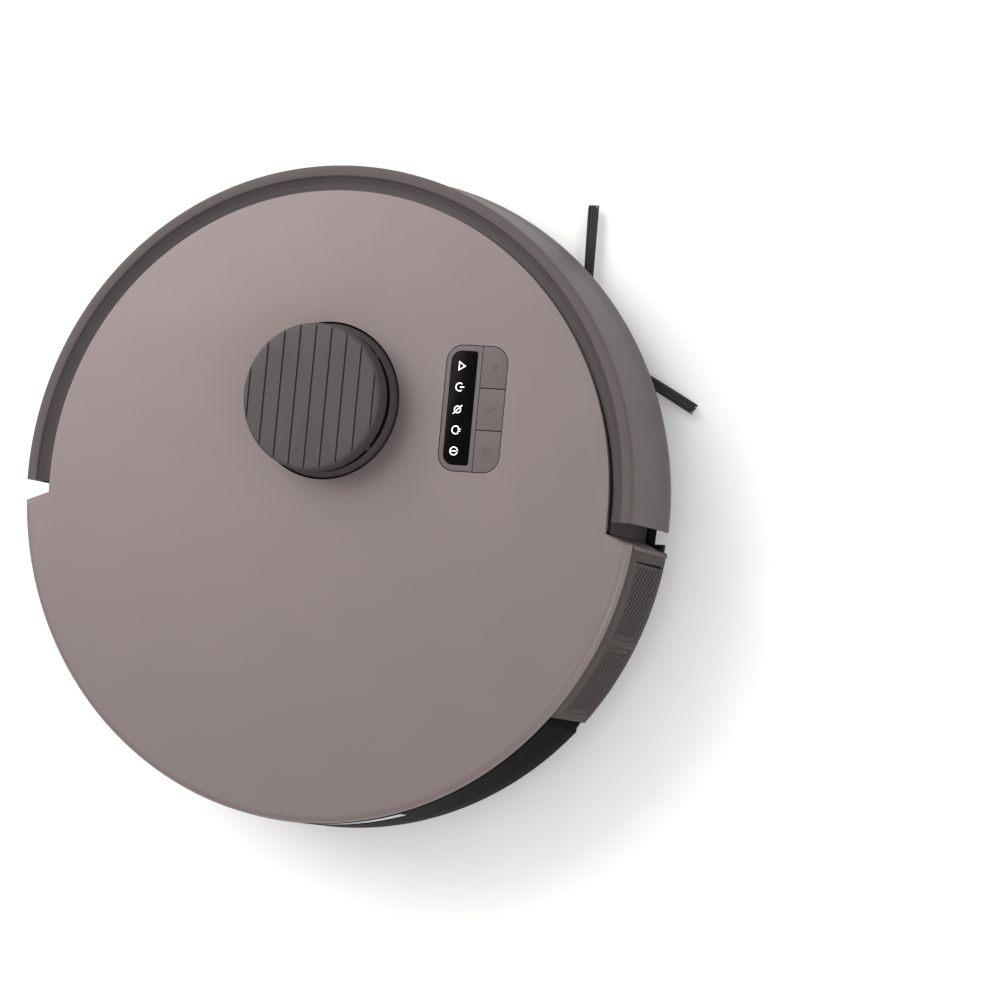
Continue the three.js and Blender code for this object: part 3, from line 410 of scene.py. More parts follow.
def combine(piece, cutters, operation="DIFFERENCE"):
    """Applies exact booleans and removes the cutters."""
    for cutter in cutters:
        modifier = piece.modifiers.new("cut", "BOOLEAN")
        modifier.operation = operation
        modifier.solver = "EXACT"
        modifier.object = cutter
    bake(piece)
    for cutter in cutters:
        bpy.data.objects.remove(cutter)
    return piece


def bake(piece):
    bpy.context.view_layer.update()
    graph = bpy.context.evaluated_depsgraph_get()
    mesh = bpy.data.meshes.new_from_object(piece.evaluated_get(graph))
    piece.modifiers.clear()
    old = piece.data
    piece.data = mesh
    bpy.data.meshes.remove(old)


def soften(piece, width, segments=2, angle=40):
    """Rounds sharp edges with real geometry."""
    modifier = piece.modifiers.new("soften", "BEVEL")
    modifier.width = width
    modifier.segments = segments
    modifier.limit_method = "ANGLE"
    modifier.angle_limit = radians(angle)
    bake(piece)
    return piece


def joined(name, pieces):
    bm = bmesh.new()
    for piece in pieces:
        bm.from_mesh(piece.data)
        bpy.data.objects.remove(piece)
    mesh = bpy.data.meshes.new(name)
    bm.to_mesh(mesh)
    bm.free()
    result = bpy.data.objects.new(name, mesh)
    bpy.context.scene.collection.objects.link(result)
    return result


def merged(piece):
    """Merges the points that a ring's corner shares."""
    bm = bmesh.new()
    bm.from_mesh(piece.data)
    bmesh.ops.remove_doubles(bm, verts=bm.verts[:], dist=1e-6)
    bmesh.ops.dissolve_degenerate(bm, edges=bm.edges[:], dist=1e-7)
    bmesh.ops.recalc_face_normals(bm, faces=bm.faces[:])
    bm.to_mesh(piece.data)
    bm.free()
    return piece


def along_x(piece, y, z):
    """Lays a solid made upright at the origin along X, through (y, z)."""
    piece.data.transform(Matrix(((0, 0, 1, 0), (1, 0, 0, y), (0, 1, 0, z), (0, 0, 0, 1))))
    return piece


def dress(piece, body, look, replaces=(), smooth=35):
    mesh = piece.data
    mesh.materials.clear()
    mesh.materials.append(MATERIALS[look])
    for polygon in mesh.polygons:
        polygon.use_smooth = True
        polygon.material_index = 0
    mesh.set_sharp_from_angle(angle=radians(smooth))
    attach(piece, body)
    if replaces:
        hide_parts(*replaces)
    return piece


def mirrored(piece, name):
    copy = piece.copy()
    copy.data = piece.data.copy()
    copy.name = name
    copy.data.transform(Matrix.Diagonal((-1, 1, 1, 1)))
    copy.data.flip_normals()
    bpy.context.scene.collection.objects.link(copy)
    return copy


def repaint(node, look):
    """Gives a carried-over CAD node its procedural material."""
    piece = frame["nodes"][node]
    if not piece.material_slots:
        piece.data.materials.append(MATERIALS[look])
    for place in piece.material_slots:
        place.material = MATERIALS[look]


# ---------- camera, floor and light
def camera():
    aim = Vector((96.2, 1.8, 80)) * MM
    distance, lean, bearing, roll = 1721.7 * MM, radians(20.6), radians(-9.06), radians(5.3)
    back = Vector((sin(lean) * cos(bearing), sin(lean) * sin(bearing), cos(lean)))
    up = (Vector((0, 1, 0)) - back * back.y).normalized()
    up = Matrix.Rotation(roll, 3, back) @ up
    right = up.cross(back)
    data = bpy.data.cameras.new("camera")
    data.lens, data.sensor_width = 126, 36
    data.clip_end = 20
    eye = bpy.data.objects.new("camera", data)
    turn = Matrix((right, up, back)).transposed().to_4x4()
    eye.matrix_world = Matrix.Translation(aim + back * distance) @ turn
    bpy.context.scene.collection.objects.link(eye)
    bpy.context.scene.camera = eye


def floor():
    half, thick = 6.0, 0.02
    corners = [(-half, -half), (half, -half), (half, half), (-half, half)]
    sheet = loft("floor", [[(x, y, z) for x, y in corners] for z in (-thick, 0)])
    sheet.data.materials.append(moulded("pale_floor", "F4F4F3", 0.6, 4 * MM, 0.02, mottle=0.01))


def area_light(name, place, target, size, power):
    data = bpy.data.lights.new(name, "AREA")
    data.energy, data.size, data.shape = power, size, "SQUARE"
    lamp = bpy.data.objects.new(name, data)
    lamp.location = place
    lamp.rotation_euler = (Vector(target) - Vector(place)).to_track_quat("-Z", "Y").to_euler()
    bpy.context.scene.collection.objects.link(lamp)


def light():
    world = bpy.data.worlds.new("studio")
    world.use_nodes = True
    backdrop = world.node_tree.nodes["Background"]
    backdrop.inputs["Color"].default_value = (1, 1, 1, 1)
    backdrop.inputs["Strength"].default_value = 0.95
    bpy.context.scene.world = world
    area_light("key", (-1.35, 1.15, 1.6), (0, 0, 0), 1.9, 50)
    area_light("rim", (1.5, -0.6, 1.1), (0.1, 0, 0.05), 0.5, 8)
    bpy.context.scene.view_settings.view_transform = "Standard"


camera()
floor()
light()


# ---------- cover and body shell
def body_outline(r_front, r_rear, steps=150):
    """Plan of the body, counter-clockwise from the right notch: (point, whether it is at the rear)."""
    a_in = asin(NOTCH_IN_Y / r_front)
    a_out = asin(NOTCH_OUT_Y / r_rear)
    points = []
    for i in range(steps + 1):
        a = a_in + (pi - 2 * a_in) * i / steps
        points.append((Vector((r_front * cos(a), r_front * sin(a))), False))
    for i in range(steps + 1):
        a = pi - a_out + (pi + 2 * a_out) * i / steps
        points.append((Vector((r_rear * cos(a), r_rear * sin(a))), True))
    return points


def cover_shell():
    points = body_outline(FRONT_R, REAR_TOP_R)
    outline = [p for p, _ in points]
    # (inset, depth below the cover's top) of the rear edge and of the sharper front edge
    rear_edge = mm([(0.1, 4.55), (0, 4.3), (0, 3.3), (0.35, 2.05), (1.05, 1.05), (2, 0.4), (2.9, 0.1),
                    (3.8, 0)])
    front_edge = mm([(0.1, 2.4), (0, 2.3), (0, 0.5), (0.03, 0.3), (0.1, 0.17), (0.2, 0.08), (0.3, 0.03),
                     (0.5, 0)])
    rings = []
    for edges in zip(front_edge, rear_edge):
        (front, front_z), (rear, rear_z) = [(inset(outline, d), COVER_Z - depth) for d, depth in edges]
        rings.append([(*rear[i], rear_z) if at_rear else (*front[i], front_z)
                      for i, (_, at_rear) in enumerate(points)])
    piece = loft("cover_shell", rings)
    gap = 0.35 * MM
    through = (COVER_Z - 10 * MM, COVER_Z + 10 * MM)
    hole = prism("hole", circle(*HUB, TURRET_HOLE_R, 160), *through)
    well = prism("well", plan("panel_bezel", PANEL_R + gap, gap, 12), *through)
    combine(piece, [hole, well])
    dress(piece, "chassis", "cover", ["top_cover"], 30)


def side_wall():
    """Grey wall from the notch to the dust bin, with an opening for each grille field."""
    thick = 2.6
    profile = near(REAR_TOP_R, DECK_Z, (-thick, 0), (-0.5, 0), (-0.1, -0.3), (0.05, -0.8))
    profile += near(REAR_R, WALL_LOW_Z, (0, 1.5), (-0.3, 0.5), (-0.9, 0), (-thick, 0))
    piece = revolve("side_wall_right", profile, 95.35, BIN_AZ - 0.2, 90)
    through = section(REAR_TOP_R - 8 * MM, REAR_R + 6 * MM, VENT_LOW_Z, VENT_HIGH_Z)
    combine(piece, [revolve("field", through, az0, az1, 24) for az0, az1 in VENT_FIELDS])
    return soften(piece, 0.35 * MM, 2, 50)


def clipped(polygon, half_w, half_h):
    """Part of a convex polygon inside the rectangle +-half_w by +-half_h."""
    for axis, sign, limit in ((0, 1, half_w), (0, -1, half_w), (1, 1, half_h), (1, -1, half_h)):
        kept = []
        for i, b in enumerate(polygon):
            a = polygon[i - 1]
            da, db = limit - sign * a[axis], limit - sign * b[axis]
            if da * db < 0:
                t = da / (da - db)
                kept.append((a[0] + (b[0] - a[0]) * t, a[1] + (b[1] - a[1]) * t))
            if db >= 0:
                kept.append(b)
        polygon = kept
    return polygon


def wall_r(z):
    """Radius of the rear wall's face at height z."""
    return REAR_TOP_R + (REAR_R - REAR_TOP_R) * (DECK_Z - z) / (DECK_Z - WALL_LOW_Z)


def vent_panel(az0, az1, name):
    """One field of fine slanted slots, set back a little from the wall."""
    thick, depth, gap = 2.0, 0.2, 0.12 * MM
    z0, z1 = VENT_LOW_Z + gap, VENT_HIGH_Z - gap
    profile = near(wall_r(z0), z0, (-thick, 0), (-depth, 0)) + near(wall_r(z1), z1, (-depth, 0), (-thick, 0))
    span = degrees(gap / REAR_R)
    plate = revolve(name, profile, az0 + span, az1 - span, 26)
    half_w = radians(az1 - az0) / 2 * REAR_R - SLOT_MARGIN
    half_h = (z1 - z0) / 2 - SLOT_MARGIN
    along = Vector((cos(SLAT_TILT), sin(SLAT_TILT)))
    across = Vector((-along.y, along.x))
    far, half = along * 60 * MM, across * SLOT_WIDTH / 2
    a = radians((az0 + az1) / 2)
    # u runs towards the rear along the wall, v runs up, w points into the wall
    to_wall = Matrix((
        (cos(a), 0, -sin(a), REAR_R * sin(a)),
        (-sin(a), 0, -cos(a), REAR_R * cos(a)),
        (0, 1, 0, (z0 + z1) / 2),
        (0, 0, 0, 1)))
    slots = []
    for k in range(-8, 9):
        centre = across * (k * SLAT_PITCH)
        corners = [centre - far - half, centre + far - half, centre + far + half, centre - far + half]
        outline = clipped(corners, half_w, half_h)
        if len(outline) >= 3:
            slot = prism("slot", outline, -6 * MM, 6 * MM)
            slot.data.transform(to_wall)
            slots.append(slot)
    combine(plate, [joined("slots", slots)])
    return soften(plate, 0.22 * MM, 2, 50)


def notch_wall():
    """Slanted wall that closes the rear body towards the notch."""
    slope = (NOTCH_OUT_Y - NOTCH_IN_Y) / (165 * MM - INNER_R)
    r_in, r_top, r_low = INNER_R - 2 * MM, REAR_TOP_R - 0.2 * MM, REAR_R - 0.8 * MM
    corners = [(r_in, WALL_LOW_Z), (r_low, WALL_LOW_Z), (r_top, DECK_Z), (r_in, DECK_Z)]
    front = [(r, NOTCH_IN_Y + slope * (r - INNER_R), z) for r, z in corners]
    back = [(x, y - 1.8 * MM, z) for x, y, z in front]
    return loft("notch_wall_right", [front, back])


def body_shell():
    wall = side_wall()
    panels = [vent_panel(az0, az1, f"vent_panel_right_{i}") for i, (az0, az1) in enumerate(VENT_FIELDS)]
    notch = notch_wall()
    # near-black sheet set behind the grille slots: painted shade seen through them
    behind = section(REAR_TOP_R - 7 * MM, REAR_TOP_R - 6 * MM, VENT_LOW_Z - 2 * MM, VENT_HIGH_Z + 2 * MM)
    shade = revolve("vent_back_right", behind, 97, 127.4, 30)
    # the side walls take the darker shell colour, which is painted shade
    for piece, name, look in [(wall, "side_wall", "shell_painted_shade"), (notch, "notch_wall", "shell"),
                              (shade, "vent_back", "cavity")]:
        dress(mirrored(piece, f"{name}_left"), "chassis", look)
        dress(piece, "chassis", look)
    # the grille panels take the same darker shell colour, which is painted shade
    for i, panel_piece in enumerate(panels):
        other = mirrored(panel_piece, f"vent_panel_left_{i}")
        dress(other, "chassis", "shell_painted_shade", ["vent_grille_left"])
        dress(panel_piece, "chassis", "shell_painted_shade", ["vent_grille_right"])
    # fixed wall behind the bumper, with a rounded lip under the deck, and the deck itself
    thick = 2.2
    profile = near(INNER_R, low("upper_housing").z, (-thick, 0), (-0.2, 0), (0, 0.4))
    profile += near(INNER_R, DECK_Z, (0, -3.5), (-0.25, -2.2), (-0.9, -1.5), (-thick, -1.3))
    # the wall behind the bumper, seen through the gap, takes the darker shell colour as painted shade
    dress(revolve("inner_wall", profile, -94.4, 94.4, 180), "chassis", "shell_painted_shade", ["upper_housing"])
    outline = [p for p, _ in body_outline(INNER_R, REAR_TOP_R - 3 * MM)]
    deck = prism("deck", outline, DECK_Z - 2 * MM, DECK_Z)
    through = (DECK_Z - 9 * MM, DECK_Z + 9 * MM)
    hole = prism("hole", circle(*HUB, 43 * MM, 48), *through)
    well = prism("well", plan("panel_bezel", 9 * MM, MM), *through)
    combine(deck, [hole, well])
    dress(deck, "chassis", "black_matt")


def bumper_end_az(r):
    """Azimuth at which a circle of radius r reaches the bumper's flat end."""
    return 90 + degrees(asin(-BUMPER_END_Y / r))


def bumper():
    ledge_r = FRONT_R + 1.2 * MM
    low_r, low_z = BUMPER_LOW_R / MM, BUMPER_LOW_Z / MM
    flange_r = 150.6  # hidden edge under the cover
    profile = mm([
        (163.2, low_z + 0.3), (164.6, low_z), (165.1, low_z + 0.4), (166.75, 26), (167, 27), (167.35, 28.2),
        (low_r, 29.4), (167.3, 31.5), (166, 37), (165.85, 48), (165.5, 64), (165.15, 77), (165, 79.2),
        (164.8, 80.1), (164.35, 80.7), (163.7, 80.95), (162.9, 81), (160.4, 81), (159.75, 80.9),
        (159.4, 80.6), (159.25, 80.1), (159.1, 79), (158.7, 78.75), (156.5, 77.42), (156.1, 77.3),
        (ledge_r / MM, 77.3), (151.2, 77.28), (flange_r, 77.1), (flange_r, 76), (151, 75.8), (162, 75.8),
        (162.7, 75.2), (164.4, 40), (164.9, 29.6), (164.5, 27.2)])
    hidden = {k for k, (r, _) in enumerate(profile) if r < 151.5 * MM}
    ledge = next(k for k, (r, _) in enumerate(profile) if abs(r - ledge_r) < 1e-9)
    back = JOINTS["bumper_press"]["range_m"][1] + 0.1 * MM
    pressed_r = 153.9 * MM
    end_az = bumper_end_az(165 * MM)

    def shape(point, az, k):
        a = radians(az)
        r = hypot(point.x, point.y)
        # the flange's hidden edge is set back by the travel, so the press never brings it to the wall
        edge = sqrt(pressed_r ** 2 - (back * sin(a)) ** 2) - back * cos(a)
        if k in hidden:
            r += edge - flange_r * MM
        elif k == ledge:
            r = max(r, edge + 0.7 * MM)
        x, y = r * sin(a), r * cos(a)
        if abs(az) >= end_az - 1e-6:
            y = BUMPER_END_Y
            x = copysign(sqrt(r * r - y * y), x)
        return Vector((x, y, point.z))

    piece = revolve("bumper_shell", profile, -end_az, end_az, 260, shape=shape)
    # thin skin laid over the bumper's recessed band in the darker ledge colour: painted shade
    inner = ledge_r / MM + 0.25
    strip = mm([
        (inner, 77.32), (156.1, 77.32), (156.5, 77.44), (158.7, 78.77), (159.12, 79.02), (159.2, 79.6),
        (159.05, 79.25), (158.6, 78.93), (156.4, 77.58), (156.1, 77.45), (inner, 77.45)])
    strip_az = bumper_end_az(159 * MM)
    dress(revolve("bumper_ledge_shade_skin", strip, -strip_az, strip_az, 240), "bumper", "ledge", smooth=50)
    lo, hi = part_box("sensor_window")
    reach = degrees(asin(hi.x / BUMPER_LOW_R)) + 0.25
    gap = 0.3 * MM
    band = section(155 * MM, 175 * MM, lo.z - gap, hi.z + gap)
    combine(piece, [revolve("slot", band, -reach, reach, 48)])
    dress(piece, "bumper", "shell", ["bumper"], 28)
    glass = near(0, lo.z, (163.9, 0), (166.25, 0), (166.45, 0.4))
    glass += near(0, hi.z, (165.9, -0.4), (165.6, 0), (163.2, 0))
    pane = revolve("bumper_window", glass, 0.2 - reach, reach - 0.2, 48)
    dress(pane, "bumper", "gloss", ["sensor_window"])


# ---------- turret
def turret():
    low_z = low("turret_ring").z
    ring = [(32 * MM, low_z), (RING_R - 0.2 * MM, low_z), *near(RING_R, COVER_Z, (0, 0), (-0.5, 1.6)),
            (CAP_R + 0.15 * MM, RING_TOP_Z), *near(0, RING_TOP_Z, (34, 0), (33, -0.9), (32, -0.9))]
    ring = rounded_profile(ring, [0, 0.2, 0, 0.6, 0.5, 0.4, 0, 0.2])
    # near-black sheet under the cap: painted shade that draws the dark line of the laser's slot
    painted_slot_shade = section(32.4 * MM, 36.5 * MM, RING_TOP_Z, RING_TOP_Z + 0.08 * MM)
    dress(revolve("turret_painted_slot_shade", painted_slot_shade, 0, 360, 120, HUB), "chassis", "cavity")
    dress(revolve("turret_collar", ring, centre=HUB, steps=160), "chassis", "turret_dark", ["turret_ring"])
    edge = near(CAP_R, CAP_LOW_Z, (-0.5, 0), (-0.12, 0.15), (0, 0.5))
    edge += near(CAP_R, CAP_TOP_Z, (0, -2.2), (-0.1, -1.6), (-0.4, -0.95), (-0.85, -0.42), (-1.4, -0.12),
                 (-2, 0))
    cap = lathe("turret_lid", [(0, CAP_LOW_Z), *edge, (0, CAP_TOP_Z)], HUB, 160)
    cutters = [peg("under", *HUB, 33 * MM, CAP_LOW_Z - MM, CAP_TOP_Z - 4 * MM, 96)]
    half = Vector((0.45, 50)) * MM
    for i in range(-4, 5):
        x, y = TURRET.x + i * GROOVE_PITCH, TURRET.y
        cutters.append(block("groove", (x - half.x, y - half.y, CAP_TOP_Z - 0.9 * MM),
                             (x + half.x, y + half.y, CAP_TOP_Z + MM)))
    combine(cap, cutters)
    feet = [polar(35.2 * MM, az, 0, HUB) for az in (50, 130, 230, 310)]
    z0, z1 = RING_TOP_Z + 0.35 * MM, CAP_LOW_Z + 0.5 * MM
    pillars = [peg("pillar", p.x, p.y, 1.6 * MM, z0, z1, 16) for p in feet]
    dress(joined("turret_lid", [cap, *pillars]), "chassis", "turret", ["turret_cap"])


def laser():
    rotor_r, top_z = 23.6, high("lidar_rotor").z
    drum = mm([(0, 70), (22, 70), (25, 71.4), (25, 74), (rotor_r, 74.3)])
    drum += near(0, top_z, (rotor_r, -1), (rotor_r - 0.3, -0.3), (rotor_r - 1, 0), (0, 0))
    rotor = lathe("laser_drum", drum, HUB)
    lo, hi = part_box("lidar_lens")
    combine(rotor, [block("face", lo - Vector((0.6, 0.5, 0.6)) * MM, hi + Vector((0.6, 9, 0.6)) * MM)])
    dress(rotor, "lidar_head", "black_matt", ["lidar_rotor"])
    dress(block("laser_window", lo, hi, 0.4 * MM), "lidar_head", "gloss", ["lidar_lens"])


# ---------- control panel
def stroke(points, width, z0, z1, closed=False):
    """Flat raised line along points, as one closed strip."""
    n = len(points)
    rings = []
    for i, p in enumerate(points):
        a = points[i - 1] if i or closed else p
        b = points[(i + 1) % n] if i < n - 1 or closed else p
        direction = (Vector(b) - Vector(a)).normalized()
        before = (Vector(p) - Vector(a)).normalized() if i or closed else direction
        side = Vector((-direction.y, direction.x)) * width / 2 / max(0.5, direction.dot(before))
        left, right = Vector(p) + side, Vector(p) - side
        rings.append([(*left, z0), (*right, z0), (*right, z1), (*left, z1)])
    return loft("stroke", rings, around=closed)


def arc(x, y, r, from_deg, to_deg, steps=18):
    angles = [radians(from_deg + (to_deg - from_deg) * i / steps) for i in range(steps + 1)]
    return [Vector((x + r * cos(a), y + r * sin(a))) for a in angles]


def glyphs(z0, z1):
    """Five plain signs, top to bottom: triangle, ring with a stem, crossed ring, plug, bar in a ring."""
    w, r, x = 0.5 * MM, 1.95 * MM, 69.5 * MM
    top, second, third, fourth, last = [y * MM for y in (66.8, 56.3, 45.1, 34.9, 24.4)]
    made = []

    def line(points, width=w, closed=False):
        made.append(stroke(points, width, z0, z1, closed))

    line([(x + r, top), (x - r * 0.6, top + r * 1.05), (x - r * 0.6, top - r * 1.05)], closed=True)
    line(arc(x, second, r, 50, 310))
    line([(x + 0.2 * MM, second), (x + r * 1.25, second)])
    line(arc(x, third, r * 0.85, 0, 345, 24))
    line([(x - r * 1.15, third - r * 1.15), (x + r * 1.15, third + r * 1.15)])
    line(arc(x, fourth, r, 40, 320))
    for dy in (-0.55 * MM, 0.55 * MM):
        line([(x + r * 0.5, fourth + dy), (x + r * 1.3, fourth + dy)], w * 0.8)
    line(arc(x, last, r, 0, 345, 24))
    line([(x - r * 0.6, last), (x + r * 0.6, last)])
    return joined("signs", made)


def key_marks(name, x, y, z0, z1):
    """Faint sign on each button: three arcs, a bolt, a triangle in a ring."""
    w = 0.3 * MM
    if name == "button_high":
        made = [stroke(arc(x - 1.5 * MM, y, r * MM, -45, 45), w, z0, z1) for r in (1, 2, 3)]
        made.append(peg("dot", x - 1.6 * MM, y, 0.35 * MM, z0, z1, 16))
    elif name == "button_middle":
        bolt = near(x, y, (2.6, 0.6), (-0.3, 1.3), (-0.3, 0.2), (-2.6, -0.6), (0.3, -1.3), (0.3, -0.2))
        made = [stroke(bolt, w, z0, z1, True)]
    else:
        triangle = near(x, y, (0.9, 0), (-0.7, 1), (-0.7, -1))
        made = [stroke(arc(x, y, 2.2 * MM, 0, 350, 28), w, z0, z1), stroke(triangle, w, z0, z1, True)]
    return joined("marks", made)


def panel():
    lo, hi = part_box("panel_bezel")
    top_z = hi.z
    rim = prism("panel_frame", plan("panel_bezel", PANEL_R, 0, 14), lo.z, top_z, 0.35 * MM)
    gap = 0.25 * MM
    pane_radii = [1.2 * MM, 1.2 * MM, 5.3 * MM, 5.3 * MM]
    well_outline = plan("display_window", [r + gap for r in pane_radii], gap, 10)
    well = prism("well", well_outline, top_z - 1.9 * MM, top_z + 5 * MM)
    bay_x = low("button_low").x - 0.25 * MM
    bay = block("bay", (bay_x, lo.y - MM, top_z - 3.1 * MM), (hi.x + MM, hi.y + MM, top_z + 5 * MM))
    keys = [middle(name) for name in BUTTONS]
    stem_holes = [peg("hole", key.x, key.y, 2.4 * MM, lo.z - MM, top_z) for key in keys]
    combine(rim, [well, bay, *stem_holes])
    dress(rim, "chassis", "panel", ["panel_bezel"], 30)
    lo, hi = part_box("display_window")
    pane = prism("panel_window", plan("display_window", pane_radii, 0, 10), lo.z, hi.z - 0.02 * MM, 0.2 * MM)
    dress(pane, "chassis", "gloss", ["display_window"], 30)
    dress(glyphs(hi.z - 0.1 * MM, hi.z), "chassis", "icon")
    for name, at in zip(BUTTONS, keys):
        low_r = PANEL_R if name == "button_low" else KEY_CORNER_R
        high_r = PANEL_R if name == "button_high" else KEY_CORNER_R
        outline = plan(name, [low_r, high_r, KEY_CORNER_R, KEY_CORNER_R], 0, 12)
        key = prism(f"{name}_key", outline, top_z - 2.2 * MM, top_z - 0.04 * MM, 0.25 * MM)
        dress(key_marks(name, at.x, at.y, top_z - 0.08 * MM, top_z - 0.02 * MM), name, "mark")
        stem = peg("stem", at.x, at.y, 2 * MM, low(name).z, top_z - 2 * MM)
        dress(joined(f"{name}_key", [key, stem]), name, "panel", [name], 30)


# ---------- dust bin
def bin_ring(r, z, inset_by=0.0, steps=80):
    """Plan of the bin at height z, whose rear arc has radius r."""
    narrow, wide = BIN_NARROW_X - inset_by, BIN_WIDE_X - inset_by
    front, step = BIN_FRONT_Y - inset_by, BIN_STEP_Y - inset_by
    side = min(wide, sqrt(r * r - step * step))
    start = atan2(side, -sqrt(r * r - side * side))
    points = [(narrow, front, z), (narrow, step, z), (side, step, z)]
    for i in range(steps + 1):
        a = start + (2 * pi - 2 * start) * i / steps
        points.append((r * sin(a), r * cos(a), z))
    return points + [(-side, step, z), (-narrow, step, z), (-narrow, front, z)]


def dust_bin():
    outer = [(151.6, 12.6), (152.6, 12.9), (159.4, 18.3), (166, 23.9), (166.25, 24.3), (166.3, 26.6),
             (167.5, 26.8), (168.2, 27.3), (168.55, 28.4), (167.9, 42), (167.2, 56.5), (166.45, 72)]
    inner = [(150.4, 14.6), (151.2, 14.9), (163.4, 25.4), (164.4, 29), (163.3, 80)]
    body = merged(loft("bin_body", [bin_ring(r, z) for r, z in mm(outer)]))
    hollow = merged(loft("hollow", [bin_ring(r, z, 2 * MM) for r, z in mm(inner)]))
    rim = mm([(163.3, 71), (166.5, 71), (166.36, 74.3), (166.2, 74.65), (165.9, 74.8), (163.3, 74.8)])
    lo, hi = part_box("bin_release")
    half_az = degrees(asin(hi.x / 166.5 / MM)) + 0.25
    recess = section(163.6 * MM, 175 * MM, lo.z - 0.35 * MM, hi.z + 0.35 * MM)
    boss = section(161 * MM, 165 * MM, lo.z - 2.6 * MM, BIN_RIM_Z)
    front, step = BIN_FRONT_Y / MM, BIN_STEP_Y / MM
    inlet = block("inlet", *mm([(-30, front - 5, 30), (30, front + 5, 51)]))
    outlet = block("outlet", *mm([(87.4, step - 5, 49), (109, step + 5, 67)]))
    rim_az = BIN_AZ + 0.25
    combine(body, [revolve("rim", rim, rim_az, 360 - rim_az, 100)], "UNION")
    combine(body, [hollow])
    combine(body, [revolve("boss", boss, 178 - half_az, 182 + half_az, 40)], "UNION")
    combine(body, [revolve("recess", recess, 180 - half_az, 180 + half_az, 60), inlet, outlet])
    dress(body, "dust_bin", "bin_black", ["dust_bin"], 30)
    back_r = 165.2 * MM
    strip = [(back_r, lo.z), *near(wall_r(lo.z), lo.z, (-0.5, 0), (-0.15, 0.35)),
             *near(wall_r(hi.z), hi.z, (-0.15, -0.35), (-0.5, 0)), (back_r, hi.z)]
    release = revolve("release_strip", strip, 180.2 - half_az, 179.8 + half_az, 60)
    dress(release, "bin_release", "silver", ["bin_release"])
    lid_outline = [Vector(p[:2]) for p in bin_ring(160 * MM, 0, 2.4 * MM, 60)]
    lid = merged(prism("bin_cover", lid_outline, low("bin_lid").z, high("bin_lid").z))
    dress(lid, "dust_bin", "smoked", ["bin_lid"], 30)


# ---------- underside
def opening(node, margin, z1):
    """Cutter from below the part up to z1, round the plan of a CAD node."""
    lo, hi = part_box(node)
    return block("opening", (lo.x - margin, lo.y - margin, 0), (hi.x + margin, hi.y + margin, z1))


def screw(x, y, z):
    """Pan head seen from below, with a cross recess."""
    head = peg("screw", x, y, 2.4 * MM, z - 0.8 * MM, z + 0.2 * MM, 24, 0, 0.35 * MM)
    arms = [block("slot", (x - u, y - v, z - 2 * MM), (x + u, y + v, z - 0.35 * MM))
            for u, v in mm([(1.4, 0.3), (0.3, 1.4)])]
    return combine(head, arms)


def underside():
    profile = near(0, FLOOR_Z, (0, 0), (146.4, 0), (148, 0.15), (150, 0.9))
    profile += mm([(165.6, 23.5), (166.1, 24.2), (166.2, 26.2), (163.8, 26.2), (149.3, 13.2), (146.8, 12)])
    profile.append((0, 12 * MM))
    dish = lathe("chassis_dish", profile, steps=200)
    cut_z = 20 * MM
    cutters = []
    # the rim is cut away in front of the notches, where the bumper comes down
    for r, z0, z1 in mm([(150.9, 17.4, 40), (158.2, 0, 17.5)]):
        rim = revolve("rim", section(r, 0.2, z0, z1), steps=200)
        rear = block("rear", (-0.25, -0.25, -0.01), (0.25, NOTCH_IN_Y - 0.8 * MM, 0.09))
        cutters.append(combine(rim, [rear]))
    for side, sign in (("right", 1), ("left", -1)):
        x0, x1 = sorted((sign * 83.5 * MM, sign * 133 * MM))
        cutters.append(prism("well", rounded_rect(x0, x1, -38.5 * MM, 66 * MM, [3 * MM] * 4), 0, cut_z))
        cutters.append(opening(f"charging_contact_{side}", 0.3 * MM, 10.4 * MM))
    cutters.append(prism("bay", plan("battery_door", 3 * MM, 0.35 * MM), 0, cut_z))
    cutters.append(opening("brush_guard", 0.5 * MM, cut_z))
    cutters.append(peg("socket", 0, pivot("caster_swivel").y, 25.3 * MM, 0, cut_z, 96))
    sweeper = pivot("side_brush_spin")
    cutters.append(peg("shaft", sweeper.x, sweeper.y, 5 * MM, 0, cut_z, 48))
    way_x, way_y = BIN_WIDE_X + 0.35 * MM, BIN_STEP_Y + 0.35 * MM
    cutters.append(block("way_out", (-way_x, -0.2, 12 * MM), (way_x, way_y, 60 * MM)))
    combine(dish, cutters)
    wells = [polar(134 * MM, az, 0) for az in (18, 62, 100, 150, 180, 210, 260, 298, 342)]
    well_z = FLOOR_Z + 0.9 * MM
    combine(dish, [peg("screw_well", p.x, p.y, 3.6 * MM, 0, well_z) for p in wells])
    soften(dish, 0.3 * MM, 2, 45)
    dress(dish, "chassis", "black", ["bottom_cover"], 30)
    dress(joined("chassis_screws", [screw(p.x, p.y, well_z) for p in wells]), "chassis", "steel")
    lo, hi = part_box("battery_door")
    margin, well_z = 6 * MM, lo.z + 0.8 * MM
    hatch = prism("battery_hatch", plan("battery_door", 2.6 * MM), lo.z, hi.z, 0, 0.5 * MM)
    corners = [(x, y) for x in (lo.x + margin, hi.x - margin) for y in (lo.y + margin, hi.y - margin)]
    combine(hatch, [peg("screw_well", x, y, 3.2 * MM, 0, well_z) for x, y in corners])
    dress(hatch, "chassis", "black", ["battery_door"], 30)
    dress(joined("hatch_screws", [screw(x, y, well_z) for x, y in corners]), "chassis", "steel")
    for side in ("right", "left"):
        node = f"charging_contact_{side}"
        plate = prism(f"contact_plate_{side}", plan(node, 1.6 * MM), low(node).z, high(node).z, 0, 0.25 * MM)
        dress(plate, "chassis", "silver", [node])


